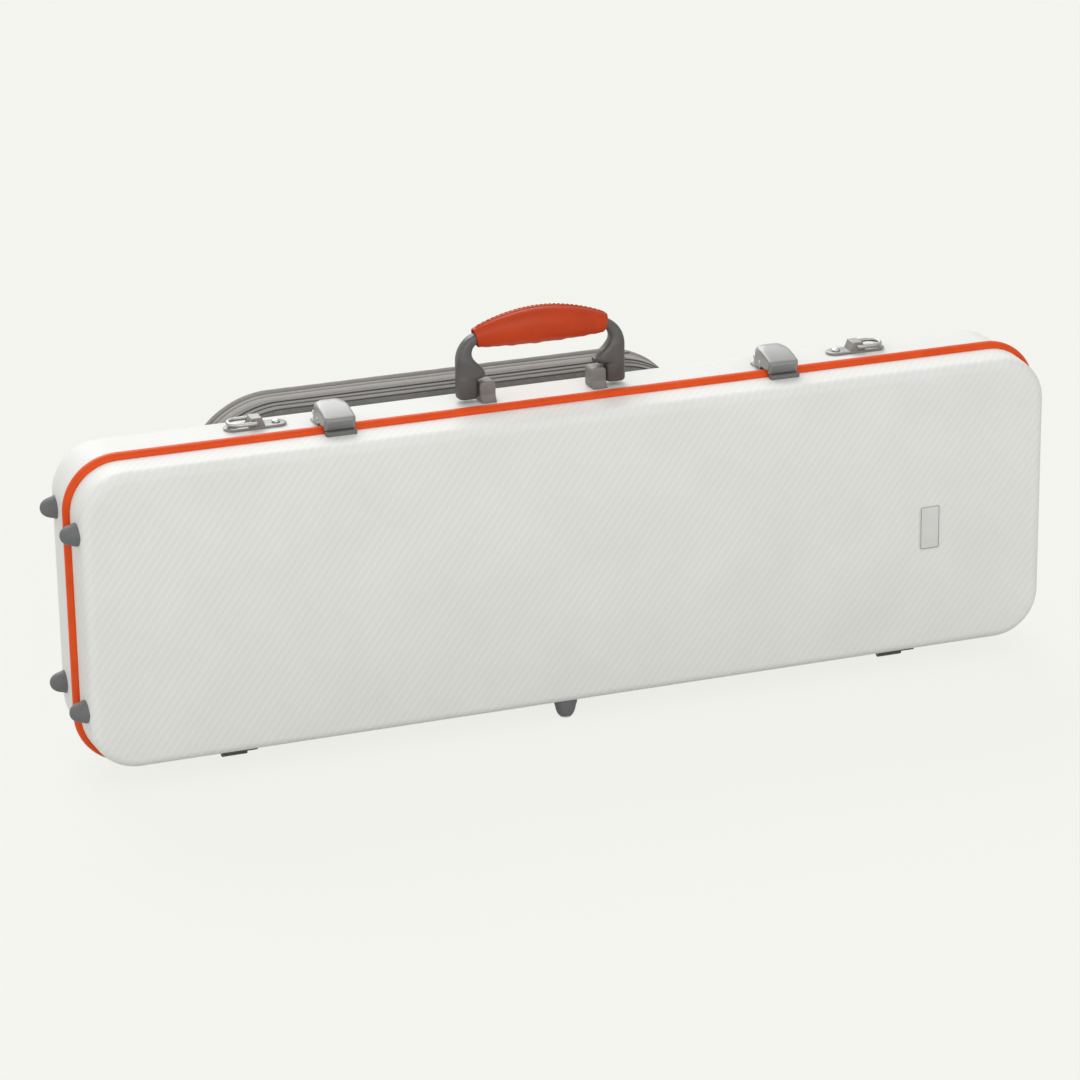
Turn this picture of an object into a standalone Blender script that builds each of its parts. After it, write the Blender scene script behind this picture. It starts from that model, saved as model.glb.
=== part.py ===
"""Oblong violin case standing on its feet, lid towards -Y, music pocket towards +Y.

Metres, +Z up. Every piece is drawn in the case's own frame: X along the length, Y = 0 on the
seam between the two shells, Z = 0 on the lower outline of the shells. The empty case_datum
carries all of them, and puts the origin under the middle of the whole object.
"""
from math import cos, pi, radians, sin, sqrt

import bmesh
import bpy
from mathutils import Vector

# Shells
CASE_LENGTH = 0.800
CASE_HEIGHT = 0.2412
CORNER_RADIUS = 0.0391
SHELL_WALL = 0.0025
LID_DEPTH = 0.0346
LID_EDGE_RADIUS = 0.0085
LID_DRAFT = 0.0013
LID_CROWN = 0.0030
BODY_DEPTH = 0.0741
BODY_EDGE_RADIUS = 0.029
CLEARANCE = 0.0003

# Seam trim with the leg that lines the back shell and the tongue that guides the lid
TRIM_WIDTH = 0.0100
TRIM_PROUD = 0.0045
TRIM_LEG = 0.0060
TRIM_TONGUE = 0.0050
TRIM_THICKNESS = 0.0020
TONGUE_PLAY = 0.0006

# Foam tray for the violin
TRAY_FLOOR = 0.008
TRAY_END_WALL = 0.014
TRAY_SIDE_WALL = 0.016
WELL_RADIUS = 0.012
VIOLIN_LENGTH = 0.362
LOWER_BOUT_WIDTH = 0.214
LOWER_BOUT_REACH = 0.105
UPPER_BOUT_WIDTH = 0.178
UPPER_BOUT_REACH = 0.082
WAIST_WIDTH = 0.136
NECK_WIDTH = 0.060
NECK_LENGTH = 0.243
SCROLL_WIDTH = 0.084
SCROLL_LENGTH = 0.075
SIDE_WELL_LENGTH = 0.145
WELL_PARTITION = 0.010
CRADLE_LENGTH = 0.034
CRADLE_SADDLE_WIDTH = 0.030
CRADLE_SADDLE_DEPTH = 0.022
STRAP_WIDTH = 0.025
STRAP_THICKNESS = 0.002
STRAP_RISE = 0.010
STRAP_TAIL = 0.008

# Lid fittings
LINING_THICKNESS = 0.004
LINING_MARGIN = 0.016
BOW_CLIP_SPACING = 0.300
BOW_CLIP_POST_RADIUS = 0.006
BOW_CLIP_POST_HEIGHT = 0.010
BOW_CLIP_BAR_LENGTH = 0.044
BOW_CLIP_BAR_WIDTH = 0.012
BOW_CLIP_BAR_THICKNESS = 0.004
BOW_LOOP_X = 0.300
BOW_LOOP_SPREAD = 0.060
BOW_LOOP_LENGTH = 0.050
BOW_LOOP_WIDTH = 0.032
BOW_LOOP_RISE = 0.015
BOW_LOOP_CLOTH = 0.002
BADGE_X = 0.297
BADGE_Z = 0.1075
BADGE_WIDTH = 0.0177
BADGE_HEIGHT = 0.037
BADGE_RADIUS = 0.002
BADGE_PROUD = 0.0010

# Rubber bumpers and feet
BUMPER_RADIUS = 0.0094
BUMPER_TIP_RADIUS = 0.0026
BUMPER_PROUD = 0.0118
BUMPER_SPREAD = 0.143
BODY_BUMPER_RAISE = 0.002
LID_BUMPER_Y = -0.0200
BODY_BUMPER_Y = 0.0410
FOOT_RADIUS = 0.0094
FOOT_TIP_RADIUS = 0.0048
FOOT_HEIGHT = 0.0145
LID_FOOT_X = -0.011
LID_FOOT_Y = -0.0196
REAR_FOOT_X = 0.240
REAR_FOOT_Y = 0.050

# Hinges under the seam
HINGE_X = 0.279
HINGE_WIDTH = 0.028
HINGE_DROP = 0.0094
KNUCKLE_RADIUS = 0.0042
KNUCKLE_SPAN = 0.0200
KNUCKLE_MIDDLE = 0.0120
HINGE_LEAF_REACH = 0.0190
HINGE_LEAF_THICKNESS = 0.0020
HINGE_PIN_RADIUS = 0.0020

# Carrying handle
HANDLE_X = -0.0110
HANDLE_Y = 0.0270
HANDLE_PIN_LIFT = 0.0095
HANDLE_PIN_RADIUS = 0.0030
BRACKET_SPREAD = 0.092
BRACKET_WIDTH = 0.013
BRACKET_HEIGHT = 0.0165
BRACKET_DEPTH = 0.016
LEG_WIDTH = 0.0170
LEG_THICKNESS = 0.0130
LEG_STRAIGHT = 0.0262
LEG_BEND = 0.0175
ARCH_RISE = 0.0033
CORE_WIDTH = 0.0100
GRIP_LENGTH = 0.1060
GRIP_MIDDLE = 0.0290
GRIP_END = 0.0160
GRIP_DEPTH_SHARE = 0.90
GRIP_FULLNESS = 1.0

# Strap rings
RING_X = 0.2513
RING_SHIFT = 0.0084
RING_Y = 0.0310
RING_PLATE_LENGTH = 0.050
RING_PLATE_WIDTH = 0.015
RING_PLATE_THICKNESS = 0.0018
RING_RIVET_RADIUS = 0.0034
RING_RIVET_HEIGHT = 0.0022
RING_RIVET_SPREAD = 0.0335
RING_BLOCK_LENGTH = 0.0140
RING_BLOCK_TOP = 0.0080
RING_BLOCK_WIDTH = 0.0125
RING_BLOCK_HEIGHT = 0.0085
RING_BAR_LIFT = 0.0050
RING_WIRE = 0.0032
RING_WIDTH = 0.0200
RING_REACH = 0.0230

# Lever latches
LATCH_X = 0.1835
LATCH_SHIFT = -0.0033
LATCH_WIDTH = 0.0240
LATCH_SKIN = 0.0025
LEVER_PIN_Y = 0.0220
LEVER_PIN_LIFT = 0.0090
LEVER_PIN_RADIUS = 0.0015
LEVER_HEEL_RADIUS = 0.0068
LEVER_APEX_LIFT = 0.0185
LEVER_NOSE_Y = -0.0110
LEVER_NOSE_TOP = 0.0125
LEVER_NOSE_BOTTOM = 0.0050
LINK_PIN_Y = 0.0105
LINK_PIN_LIFT = 0.0075
LINK_PIN_RADIUS = 0.0012
LINK_WIDTH = 0.0080
LINK_THICKNESS = 0.0022
LINK_HOOK_Y = -0.0070
LUG_WIDTH = 0.0030
LUG_GAP = 0.0092
LUG_RADIUS = 0.0040
LATCH_BASE_THICKNESS = 0.0014
LATCH_BASE_REAR = 0.0300
CATCH_FRONT_Y = -0.0128
CATCH_LIP_Y = -0.0112
CATCH_LIP_LIFT = 0.0042
CATCH_LIP_THICKNESS = 0.0022

# Music pocket on the back
POCKET_X = -0.0665
POCKET_WIDTH = 0.420
POCKET_BOTTOM = 0.018
POCKET_TOP = 0.2375
POCKET_THICKNESS = 0.042
POCKET_CORNER = 0.070
POCKET_EDGE = 0.007
POCKET_WALL = 0.0022
POCKET_MOUTH = 0.008
FIXING_THICKNESS = 0.0026
FIXING_INSET = 0.036
PIPING_RADIUS = 0.0024
ZIP_WIDTH = 0.012
ZIP_THICKNESS = 0.0012
ZIP_SIDE_RUN = 0.030
ZIP_SETBACK = 0.0072
SLIDER_LENGTH = 0.012
SLIDER_WIDTH = 0.009
SLIDER_HEIGHT = 0.003
SLIDER_END_GAP = 0.010
PULL_LENGTH = 0.024
PULL_WIDTH = 0.005
PULL_THICKNESS = 0.0015
PULL_BARREL_RADIUS = 0.0013
PULL_LUG = 0.0015

# Smoothness of the round stretches
ARC_STEPS = 6
EDGE_STEPS = 4
ROUND_SIDES = 20
WIRE_SIDES = 8

# Places that follow from the sizes above
HALF_LENGTH = CASE_LENGTH / 2
MIDDLE_Z = CASE_HEIGHT / 2
RIM = TRIM_WIDTH / 2 + CLEARANCE
INSIDE = SHELL_WALL + CLEARANCE
TRAY_FRONT = TRIM_WIDTH / 2 + TRIM_LEG + CLEARANCE
TRAY_FLOOR_Y = BODY_DEPTH - INSIDE - TRAY_FLOOR
LINING_FRONT = LID_DEPTH - INSIDE - LINING_THICKNESS
POCKET_FRONT = BODY_DEPTH + FIXING_THICKNESS + 2 * CLEARANCE
POCKET_REAR = POCKET_FRONT + POCKET_THICKNESS
ZIP_Y = POCKET_FRONT + ZIP_SETBACK + ZIP_WIDTH / 2
PIPING_OFFSET = (POCKET_EDGE + PIPING_RADIUS + CLEARANCE) * sqrt(0.5) - POCKET_EDGE
FRONT_EXTENT = LID_DEPTH + LID_CROWN
REAR_EXTENT = POCKET_REAR + PIPING_OFFSET + PIPING_RADIUS
SEAM_Y = (FRONT_EXTENT - REAR_EXTENT) / 2
DATUM_X = (BUMPER_PROUD - TRIM_PROUD) / 2
LEG_X = BRACKET_SPREAD / 2 + BRACKET_WIDTH / 2 + CLEARANCE + LEG_WIDTH / 2
ARCH_SPAN = LEG_X - LEG_BEND

FINISHES = {
    "white_shell": ((0.86, 0.86, 0.83), 0.35, 0.0),
    "orange_trim": ((0.78, 0.08, 0.02), 0.40, 0.0),
    "orange_leather": ((0.60, 0.07, 0.02), 0.60, 0.0),
    "grey_plastic": ((0.20, 0.19, 0.18), 0.50, 0.0),
    "latch_grey": ((0.38, 0.38, 0.37), 0.45, 0.0),
    "dark_rubber": ((0.10, 0.10, 0.11), 0.70, 0.0),
    "bright_steel": ((0.62, 0.62, 0.60), 0.25, 1.0),
    "pocket_fabric": ((0.35, 0.33, 0.31), 0.85, 0.0),
    "lining_fabric": ((0.12, 0.12, 0.13), 0.90, 0.0),
    "pale_plate": ((0.70, 0.70, 0.68), 0.35, 0.2),
}

pivots = {}
places = {}
materials = {}


def clear_scene():
    for item in list(bpy.data.objects):
        bpy.data.objects.remove(item, do_unlink=True)


def finish(name):
    """One Principled material for each finish."""
    if name not in materials:
        colour, roughness, metallic = FINISHES[name]
        material = bpy.data.materials.new(name)
        material.use_nodes = True
        shader = material.node_tree.nodes["Principled BSDF"]
        shader.inputs["Base Color"].default_value = (*colour, 1.0)
        shader.inputs["Roughness"].default_value = roughness
        shader.inputs["Metallic"].default_value = metallic
        materials[name] = material
    return materials[name]


def pivot(name, place, parent=None):
    """An empty on a joint's axis, given in the case's frame."""
    empty = bpy.data.objects.new(name, None)
    bpy.context.scene.collection.objects.link(empty)
    empty.location = Vector(place)
    places[name] = Vector(place)
    if parent:
        empty.parent = pivots[parent]
        empty.location = places[name] - places[parent]
    pivots[name] = empty


def piece(name, shape, look, carrier="case_datum"):
    """Make a named object from a bmesh drawn in the case's frame."""
    bmesh.ops.recalc_face_normals(shape, faces=shape.faces[:])
    bmesh.ops.translate(shape, verts=shape.verts[:], vec=-places[carrier])
    mesh = bpy.data.meshes.new(name)
    shape.to_mesh(mesh)
    shape.free()
    mesh.materials.append(finish(look))
    mesh.shade_smooth()
    mesh.set_sharp_from_angle(angle=radians(35))
    item = bpy.data.objects.new(name, mesh)
    bpy.context.scene.collection.objects.link(item)
    item.parent = pivots[carrier]
    return item


def cut(item, cutter_name, shape, carrier="case_datum"):
    """Take a hidden cutter's shape out of a piece."""
    cutter = piece(cutter_name, shape, "grey_plastic", carrier)
    cutter.hide_render = True
    cutter.display_type = "WIRE"
    carve(item, cutter)


def carve(item, cutter, operation="DIFFERENCE"):
    step = item.modifiers.new("carve", "BOOLEAN")
    step.operation = operation
    step.solver = "EXACT"
    step.object = cutter


def loft(rings, loop=False):
    """Join rings of equally many points by quads; an open run of rings gets end caps."""
    shape = bmesh.new()
    rows = [[shape.verts.new(point) for point in ring] for ring in rings]
    pairs = list(zip(rows, rows[1:]))
    if loop:
        pairs.append((rows[-1], rows[0]))
    for low, high in pairs:
        for i in range(len(low)):
            k = (i + 1) % len(low)
            shape.faces.new((low[i], low[k], high[k], high[i]))
    if not loop:
        shape.faces.new(rows[0])
        shape.faces.new(rows[-1])
    return shape


def rounded_outline(half_a, half_b, radius):
    """Points (a, b) of a rounded rectangle round the origin."""
    radius = min(radius, half_a * 0.98, half_b * 0.98)
    points = []
    for quarter in range(4):
        start = quarter * pi / 2
        side_a = 1 if quarter in (0, 3) else -1
        side_b = 1 if quarter in (0, 1) else -1
        for step in range(ARC_STEPS + 1):
            turn = start + step * pi / 2 / ARC_STEPS
            points.append((
                side_a * (half_a - radius) + radius * cos(turn),
                side_b * (half_b - radius) + radius * sin(turn),
            ))
    return points


def upright_ring(half_x, half_z, radius, y, centre=(0.0, MIDDLE_Z)):
    """A rounded rectangle standing in the XZ plane at depth y."""
    outline = rounded_outline(half_x, half_z, radius)
    return [Vector((centre[0] + a, y, centre[1] + b)) for a, b in outline]


def case_ring(inset, y):
    return upright_ring(HALF_LENGTH - inset, MIDDLE_Z - inset, CORNER_RADIUS - inset, y)


def skin_rings(side, start, offset):
    """Rings over one shell's outer skin moved out by offset, from depth start to the face."""
    depth, edge, draft, crown = (
        (LID_DEPTH, LID_EDGE_RADIUS, LID_DRAFT, LID_CROWN) if side < 0
        else (BODY_DEPTH, BODY_EDGE_RADIUS, 0.0, 0.0)
    )
    wall_end = depth - edge
    rings = [case_ring(draft * max(start, 0.0) / wall_end - offset, side * start)]
    reach = edge + offset
    for step in range(EDGE_STEPS + 1):
        turn = step * pi / 2 / EDGE_STEPS
        inset = draft + reach * (1 - cos(turn)) - offset
        rings.append(case_ring(inset, side * (wall_end + reach * sin(turn))))
    if crown:
        face_inset = draft + edge
        for share in (0.72, 0.38):
            rings.append(upright_ring(
                (HALF_LENGTH - face_inset) * share,
                (MIDDLE_Z - face_inset) * share,
                (CORNER_RADIUS - face_inset) * share,
                side * (depth + offset + crown * (1 - share * share)),
            ))
    return rings


def shell(side):
    """A moulded tub: outer skin from its face to the rim, then the inner skin back."""
    outer = skin_rings(side, RIM, 0.0)
    inner = skin_rings(side, RIM, -SHELL_WALL)
    return loft(outer[::-1] + inner)


def envelope(side):
    """The shell's outer shape grown by the clearance; what seats on the shell is cut by it."""
    return loft(skin_rings(side, -RIM, CLEARANCE))


def prism(profile, low_x, high_x):
    """Carry a profile of (y, z) points along X."""
    return loft([[Vector((x, y, z)) for y, z in profile] for x in (low_x, high_x)])


def turned(profile, base, axis, sides=ROUND_SIDES):
    """Turn (radius, height) points about an axis through base."""
    axis = Vector(axis)
    across = axis.orthogonal().normalized()
    other = axis.cross(across)
    rings = []
    for radius, height in profile:
        ring = []
        for k in range(sides):
            turn = 2 * pi * k / sides
            ring.append(Vector(base) + axis * height + (across * cos(turn) + other * sin(turn)) * radius)
        rings.append(ring)
    return loft(rings)


def rod(start, end, radius, sides=ROUND_SIDES):
    start = Vector(start)
    run = Vector(end) - start
    return turned([(radius, 0.0), (radius, run.length)], start, run.normalized(), sides)


def block(low, high):
    (x0, y0, z0), (x1, y1, z1) = low, high
    return prism([(y0, z0), (y1, z0), (y1, z1), (y0, z1)], x0, x1)


def wire_loop(path, radius, flat):
    """A round wire along a closed path that lies in the plane across flat."""
    flat = Vector(flat)
    rings = []
    for k, point in enumerate(path):
        along = (path[(k + 1) % len(path)] - path[k - 1]).normalized()
        side = along.cross(flat)
        ring = []
        for n in range(WIRE_SIDES):
            turn = 2 * pi * n / WIRE_SIDES
            ring.append(point + (side * cos(turn) + flat * sin(turn)) * radius)
        rings.append(ring)
    return loft(rings, loop=True)


def disc_profile(centre, radius, start, end, steps):
    """Arc points (y, z) from one angle to another, in degrees."""
    points = []
    for k in range(steps + 1):
        turn = radians(start + (end - start) * k / steps)
        points.append((centre[0] + radius * cos(turn), centre[1] + radius * sin(turn)))
    return points


def make_shells():
    piece("back_shell", shell(1), "white_shell")
    piece("lid_shell", shell(-1), "white_shell", "lid_axis")


def make_trim():
    """Round bead between the rims, with a leg into the back shell and a tongue into the lid."""
    half = TRIM_WIDTH / 2
    tongue_end = half + TRIM_TONGUE
    tongue_out = SHELL_WALL + TONGUE_PLAY + LID_DRAFT * tongue_end / (LID_DEPTH - LID_EDGE_RADIUS)
    inner = max(tongue_out, INSIDE) + TRIM_THICKNESS
    bead = disc_profile((0.0, 0.0), 1.0, 180.0, 0.0, 8)
    profile = [(half * y, -TRIM_PROUD * rise) for y, rise in bead]
    profile += [
        (half, INSIDE), (half + TRIM_LEG, INSIDE), (half + TRIM_LEG, inner),
        (-tongue_end, inner), (-tongue_end, tongue_out), (-half, tongue_out),
    ]
    rings = [case_ring(inset, y) for y, inset in profile]
    piece("seam_trim", loft(rings, loop=True), "orange_trim")


def violin_half_width(x, end):
    """Half width of the violin recess: two oval bouts and a straight waist between them."""
    lower_x = end - LOWER_BOUT_REACH
    upper_x = end - VIOLIN_LENGTH + UPPER_BOUT_REACH
    lower = 1 - ((x - lower_x) / LOWER_BOUT_REACH) ** 2
    upper = 1 - ((x - upper_x) / UPPER_BOUT_REACH) ** 2
    widths = [sqrt(max(lower, 0.0)) * LOWER_BOUT_WIDTH / 2, sqrt(max(upper, 0.0)) * UPPER_BOUT_WIDTH / 2]
    if upper_x < x < lower_x:
        widths.append(WAIST_WIDTH / 2)
    return max(widths)


def violin_cutter(end, front, floor):
    stations = 26
    top = []
    for k in range(1, stations):
        x = end - VIOLIN_LENGTH / 2 * (1 - cos(pi * k / stations))
        top.append((x, violin_half_width(x, end)))
    outline = [(end, 0.0)] + top + [(end - VIOLIN_LENGTH, 0.0)] + [(x, -half) for x, half in top[::-1]]
    return loft([[Vector((x, y, MIDDLE_Z + half)) for x, half in outline] for y in (front, floor)])


def well_cutter(low_x, high_x, low_z, high_z, front, floor):
    half_x, half_z = (high_x - low_x) / 2, (high_z - low_z) / 2
    centre = ((low_x + high_x) / 2, (low_z + high_z) / 2)
    return loft([upright_ring(half_x, half_z, WELL_RADIUS, y, centre) for y in (front, floor)])


def make_tray():
    """Foam block in the back shell, with the violin recess and the wells cut from its front."""
    violin_end = HALF_LENGTH - INSIDE - TRAY_END_WALL
    neck_root = violin_end - VIOLIN_LENGTH
    scroll_end = neck_root - NECK_LENGTH
    cut_front = TRAY_FRONT - TRAY_FLOOR
    well_top = MIDDLE_Z - INSIDE - TRAY_SIDE_WALL
    neck_half = NECK_WIDTH / 2
    tray = piece("violin_tray", loft(skin_rings(1, TRAY_FRONT, -INSIDE)), "lining_fabric")
    cut(tray, "violin_recess", violin_cutter(violin_end, cut_front, TRAY_FLOOR_Y))
    neck = block(
        (scroll_end + WELL_RADIUS, cut_front, MIDDLE_Z - neck_half),
        (neck_root + UPPER_BOUT_REACH, TRAY_FLOOR_Y, MIDDLE_Z + neck_half),
    )
    cut(tray, "neck_channel", neck)
    scroll_half = SCROLL_WIDTH / 2
    cut(tray, "scroll_well", well_cutter(
        scroll_end, scroll_end + SCROLL_LENGTH, MIDDLE_Z - scroll_half, MIDDLE_Z + scroll_half,
        cut_front, TRAY_FLOOR_Y))
    well_end = neck_root - WELL_PARTITION
    for name, sign in (("upper", 1), ("lower", -1)):
        edges = sorted((MIDDLE_Z + sign * (neck_half + WELL_PARTITION), MIDDLE_Z + sign * well_top))
        cut(tray, name + "_side_well", well_cutter(
            well_end - SIDE_WELL_LENGTH, well_end, edges[0], edges[1], cut_front, TRAY_FLOOR_Y))
    cut(tray, "accessory_well", well_cutter(
        -violin_end, scroll_end - TRAY_END_WALL, MIDDLE_Z - well_top, MIDDLE_Z + well_top,
        cut_front, TRAY_FLOOR_Y))
    make_neck_rest(neck_root - WELL_PARTITION - SIDE_WELL_LENGTH / 2)


def make_neck_rest(centre_x):
    """Saddle block in the neck channel and the strap that closes over it."""
    half = NECK_WIDTH / 2 - CLEARANCE
    saddle = CRADLE_SADDLE_WIDTH / 2
    back, front = TRAY_FLOOR_Y - CLEARANCE, TRAY_FRONT
    bottom = disc_profile((front + CRADLE_SADDLE_DEPTH - saddle, MIDDLE_Z), saddle, 90.0, -90.0, 8)
    profile = [(back, MIDDLE_Z - half), (back, MIDDLE_Z + half), (front, MIDDLE_Z + half)]
    profile += [(front, MIDDLE_Z + saddle)] + bottom + [(front, MIDDLE_Z - saddle)]
    profile += [(front, MIDDLE_Z - half)]
    low_x, high_x = centre_x - CRADLE_LENGTH / 2, centre_x + CRADLE_LENGTH / 2
    piece("neck_cradle", prism(profile, low_x, high_x), "lining_fabric")

    seat = TRAY_FRONT - CLEARANCE
    end = half + STRAP_TAIL
    stations = 16
    outer, inner = [], []
    for k in range(stations + 1):
        z = -half + 2 * half * k / stations
        lift = STRAP_RISE * cos(pi / 2 * z / half) ** 2
        outer.append((seat - STRAP_THICKNESS - lift, MIDDLE_Z + z))
        inner.append((seat - lift, MIDDLE_Z + z))
    outer = [(seat - STRAP_THICKNESS, MIDDLE_Z - end)] + outer + [(seat - STRAP_THICKNESS, MIDDLE_Z + end)]
    inner = [(seat, MIDDLE_Z - end)] + inner + [(seat, MIDDLE_Z + end)]
    low_x, high_x = centre_x - STRAP_WIDTH / 2, centre_x + STRAP_WIDTH / 2
    piece("neck_strap", prism(outer + inner[::-1], low_x, high_x), "lining_fabric")


def make_lid_fittings():
    back = skin_rings(-1, LID_DEPTH - INSIDE, -INSIDE)[-2:]
    margin = LID_EDGE_RADIUS + LID_DRAFT + LINING_MARGIN
    size = (HALF_LENGTH - margin, MIDDLE_Z - margin, CORNER_RADIUS - LID_EDGE_RADIUS)
    rings = [upright_ring(*size, -LINING_FRONT), upright_ring(*size, -(LID_DEPTH - INSIDE))]
    piece("lid_lining", loft(rings + back), "lining_fabric", "lid_axis")

    for name, sign in (("left", -1), ("right", 1)):
        make_bow_clip(name, sign * BOW_CLIP_SPACING / 2)
    loops = piece("bow_tip_loops", bow_loop(MIDDLE_Z - BOW_LOOP_SPREAD / 2), "lining_fabric", "lid_axis")
    merge(loops, "upper_bow_loop", bow_loop(MIDDLE_Z + BOW_LOOP_SPREAD / 2), "lid_axis")
    seat = -LINING_FRONT + CLEARANCE
    half_x = BOW_LOOP_LENGTH / 2
    half_z = (BOW_LOOP_SPREAD - BOW_LOOP_WIDTH + BOW_LOOP_CLOTH) / 2
    merge(loops, "bow_loop_tape", block(
        (BOW_LOOP_X - half_x, seat, MIDDLE_Z - half_z),
        (BOW_LOOP_X + half_x, seat + BOW_LOOP_CLOTH, MIDDLE_Z + half_z)), "lid_axis")

    badge = loft([
        upright_ring(BADGE_WIDTH / 2, BADGE_HEIGHT / 2, BADGE_RADIUS, y, (BADGE_X, BADGE_Z))
        for y in (-LID_DEPTH, -face_depth(BADGE_X, BADGE_Z) - BADGE_PROUD)
    ])
    carve(piece("badge_plate", badge, "pale_plate", "lid_axis"), bpy.data.objects["lid_envelope"])


def face_depth(x, z):
    """Depth of the lid's crowned face at a point."""
    inset = LID_EDGE_RADIUS + LID_DRAFT
    share = max(abs(x) / (HALF_LENGTH - inset), abs(z - MIDDLE_Z) / (MIDDLE_Z - inset))
    return LID_DEPTH + LID_CROWN * (1 - share * share)


def make_bow_clip(name, x):
    """Turn clip: a round post on the lining with a bar across its end."""
    seat = -LINING_FRONT + CLEARANCE
    top = seat + BOW_CLIP_POST_HEIGHT
    carrier = "bow_clip_axis_" + name
    pivot(carrier, (x, seat, MIDDLE_Z), "lid_axis")
    post = turned(
        [(BOW_CLIP_POST_RADIUS, 0.0), (BOW_CLIP_POST_RADIUS * 0.7, BOW_CLIP_POST_HEIGHT * 1.2)],
        (x, seat, MIDDLE_Z), (0, 1, 0))
    clip = piece("bow_clip_" + name, post, "grey_plastic", carrier)
    half = BOW_CLIP_BAR_WIDTH / 2
    bar = loft([
        upright_ring(BOW_CLIP_BAR_LENGTH / 2, half, half, y, (x, MIDDLE_Z))
        for y in (top, top + BOW_CLIP_BAR_THICKNESS)
    ])
    merge(clip, "bow_clip_bar_" + name, bar, carrier)


def merge(item, name, shape, carrier):
    """Fuse a hidden helper's shape into a piece."""
    helper = piece(name, shape, "grey_plastic", carrier)
    helper.hide_render = True
    helper.display_type = "WIRE"
    carve(item, helper, "UNION")


def bow_loop(z):
    """Cloth arch on the lining that a bow's tip slides under."""
    seat = -LINING_FRONT + CLEARANCE
    steps = 10
    outer, inner = [], []
    for k in range(steps + 1):
        turn = pi * k / steps
        outer.append((seat + BOW_LOOP_RISE * sin(turn), z + BOW_LOOP_WIDTH / 2 * cos(turn)))
        inner.append((
            seat + (BOW_LOOP_RISE - BOW_LOOP_CLOTH) * sin(turn),
            z + (BOW_LOOP_WIDTH / 2 - BOW_LOOP_CLOTH) * cos(turn),
        ))
    low_x, high_x = BOW_LOOP_X - BOW_LOOP_LENGTH / 2, BOW_LOOP_X + BOW_LOOP_LENGTH / 2
    return prism(outer + inner[::-1], low_x, high_x)


def make_envelopes():
    """Hidden cutters shaped like each shell with the clearance added."""
    for name, side, carrier in (("lid_envelope", -1, "lid_axis"), ("body_envelope", 1, "case_datum")):
        cutter = piece(name, envelope(side), "white_shell", carrier)
        cutter.hide_render = True
        cutter.display_type = "WIRE"


def stud(name, base, axis, radius, tip_radius, height, taper, carrier, cutter):
    """Tapered rubber stud whose base is cut to the shell's skin; taper lists shares of height and radius."""
    profile = [(radius, -SHELL_WALL)]
    profile += [(radius * across, height * along) for along, across in taper]
    profile.append((tip_radius, height))
    carve(piece(name, turned(profile, base, axis), "dark_rubber", carrier), bpy.data.objects[cutter])


def make_bumpers_and_feet():
    """Bumpers on the end that the case is stood on, and three feet under it."""
    cone = ((0.08, 0.98), (0.39, 0.83), (0.75, 0.585), (0.96, 0.34))
    bullet = ((0.20, 1.0), (0.50, 0.93), (0.80, 0.76))
    owners = (
        ("lid", LID_BUMPER_Y, 0.0, "lid_axis"),
        ("body", BODY_BUMPER_Y, BODY_BUMPER_RAISE, "case_datum"),
    )
    for level, lift in (("top", 1), ("bottom", -1)):
        for owner, y, lift_extra, carrier in owners:
            z = MIDDLE_Z + lift * BUMPER_SPREAD / 2 + lift_extra
            stud(owner + "_bumper_" + level, (-HALF_LENGTH, y, z), (-1, 0, 0),
                 BUMPER_RADIUS, BUMPER_TIP_RADIUS, BUMPER_PROUD, cone, carrier, owner + "_envelope")
    for end, sign in (("left", -1), ("right", 1)):
        stud("rear_foot_" + end, (sign * REAR_FOOT_X, REAR_FOOT_Y, 0.0), (0, 0, -1),
             FOOT_RADIUS, FOOT_TIP_RADIUS, FOOT_HEIGHT, bullet, "case_datum", "body_envelope")
    stud("lid_foot", (LID_FOOT_X, LID_FOOT_Y, 0.0), (0, 0, -1),
         FOOT_RADIUS, FOOT_TIP_RADIUS, FOOT_HEIGHT, bullet, "lid_axis", "lid_envelope")


def hinge_seat(side):
    """Height of a leaf's upper face, just under its shell."""
    return -CLEARANCE - (LID_DRAFT if side < 0 else 0.0)


def hinge_plate(side):
    """Profile of the plate under one shell."""
    top = hinge_seat(side)
    low = top - HINGE_LEAF_THICKNESS
    toe = TRIM_WIDTH / 2 + 2 * CLEARANCE
    corners = ((toe, top), (HINGE_LEAF_REACH, top), (HINGE_LEAF_REACH, low), (toe, low))
    return [(side * y, z) for y, z in corners]


def hinge_knuckle(side):
    """Profile of the arm that bends down from the plate into the barrel round the pin."""
    start = hinge_seat(side) - HINGE_LEAF_THICKNESS / 2
    toe = TRIM_WIDTH / 2 + KNUCKLE_RADIUS / 2
    heel = toe + 2 * HINGE_LEAF_THICKNESS
    barrel = disc_profile((0.0, -HINGE_DROP), KNUCKLE_RADIUS, -10.0, -300.0, 14)
    arm = [(toe, start), (heel, start), (heel, start - HINGE_LEAF_THICKNESS)]
    return [(side * y, z) for y, z in arm + barrel]


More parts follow.
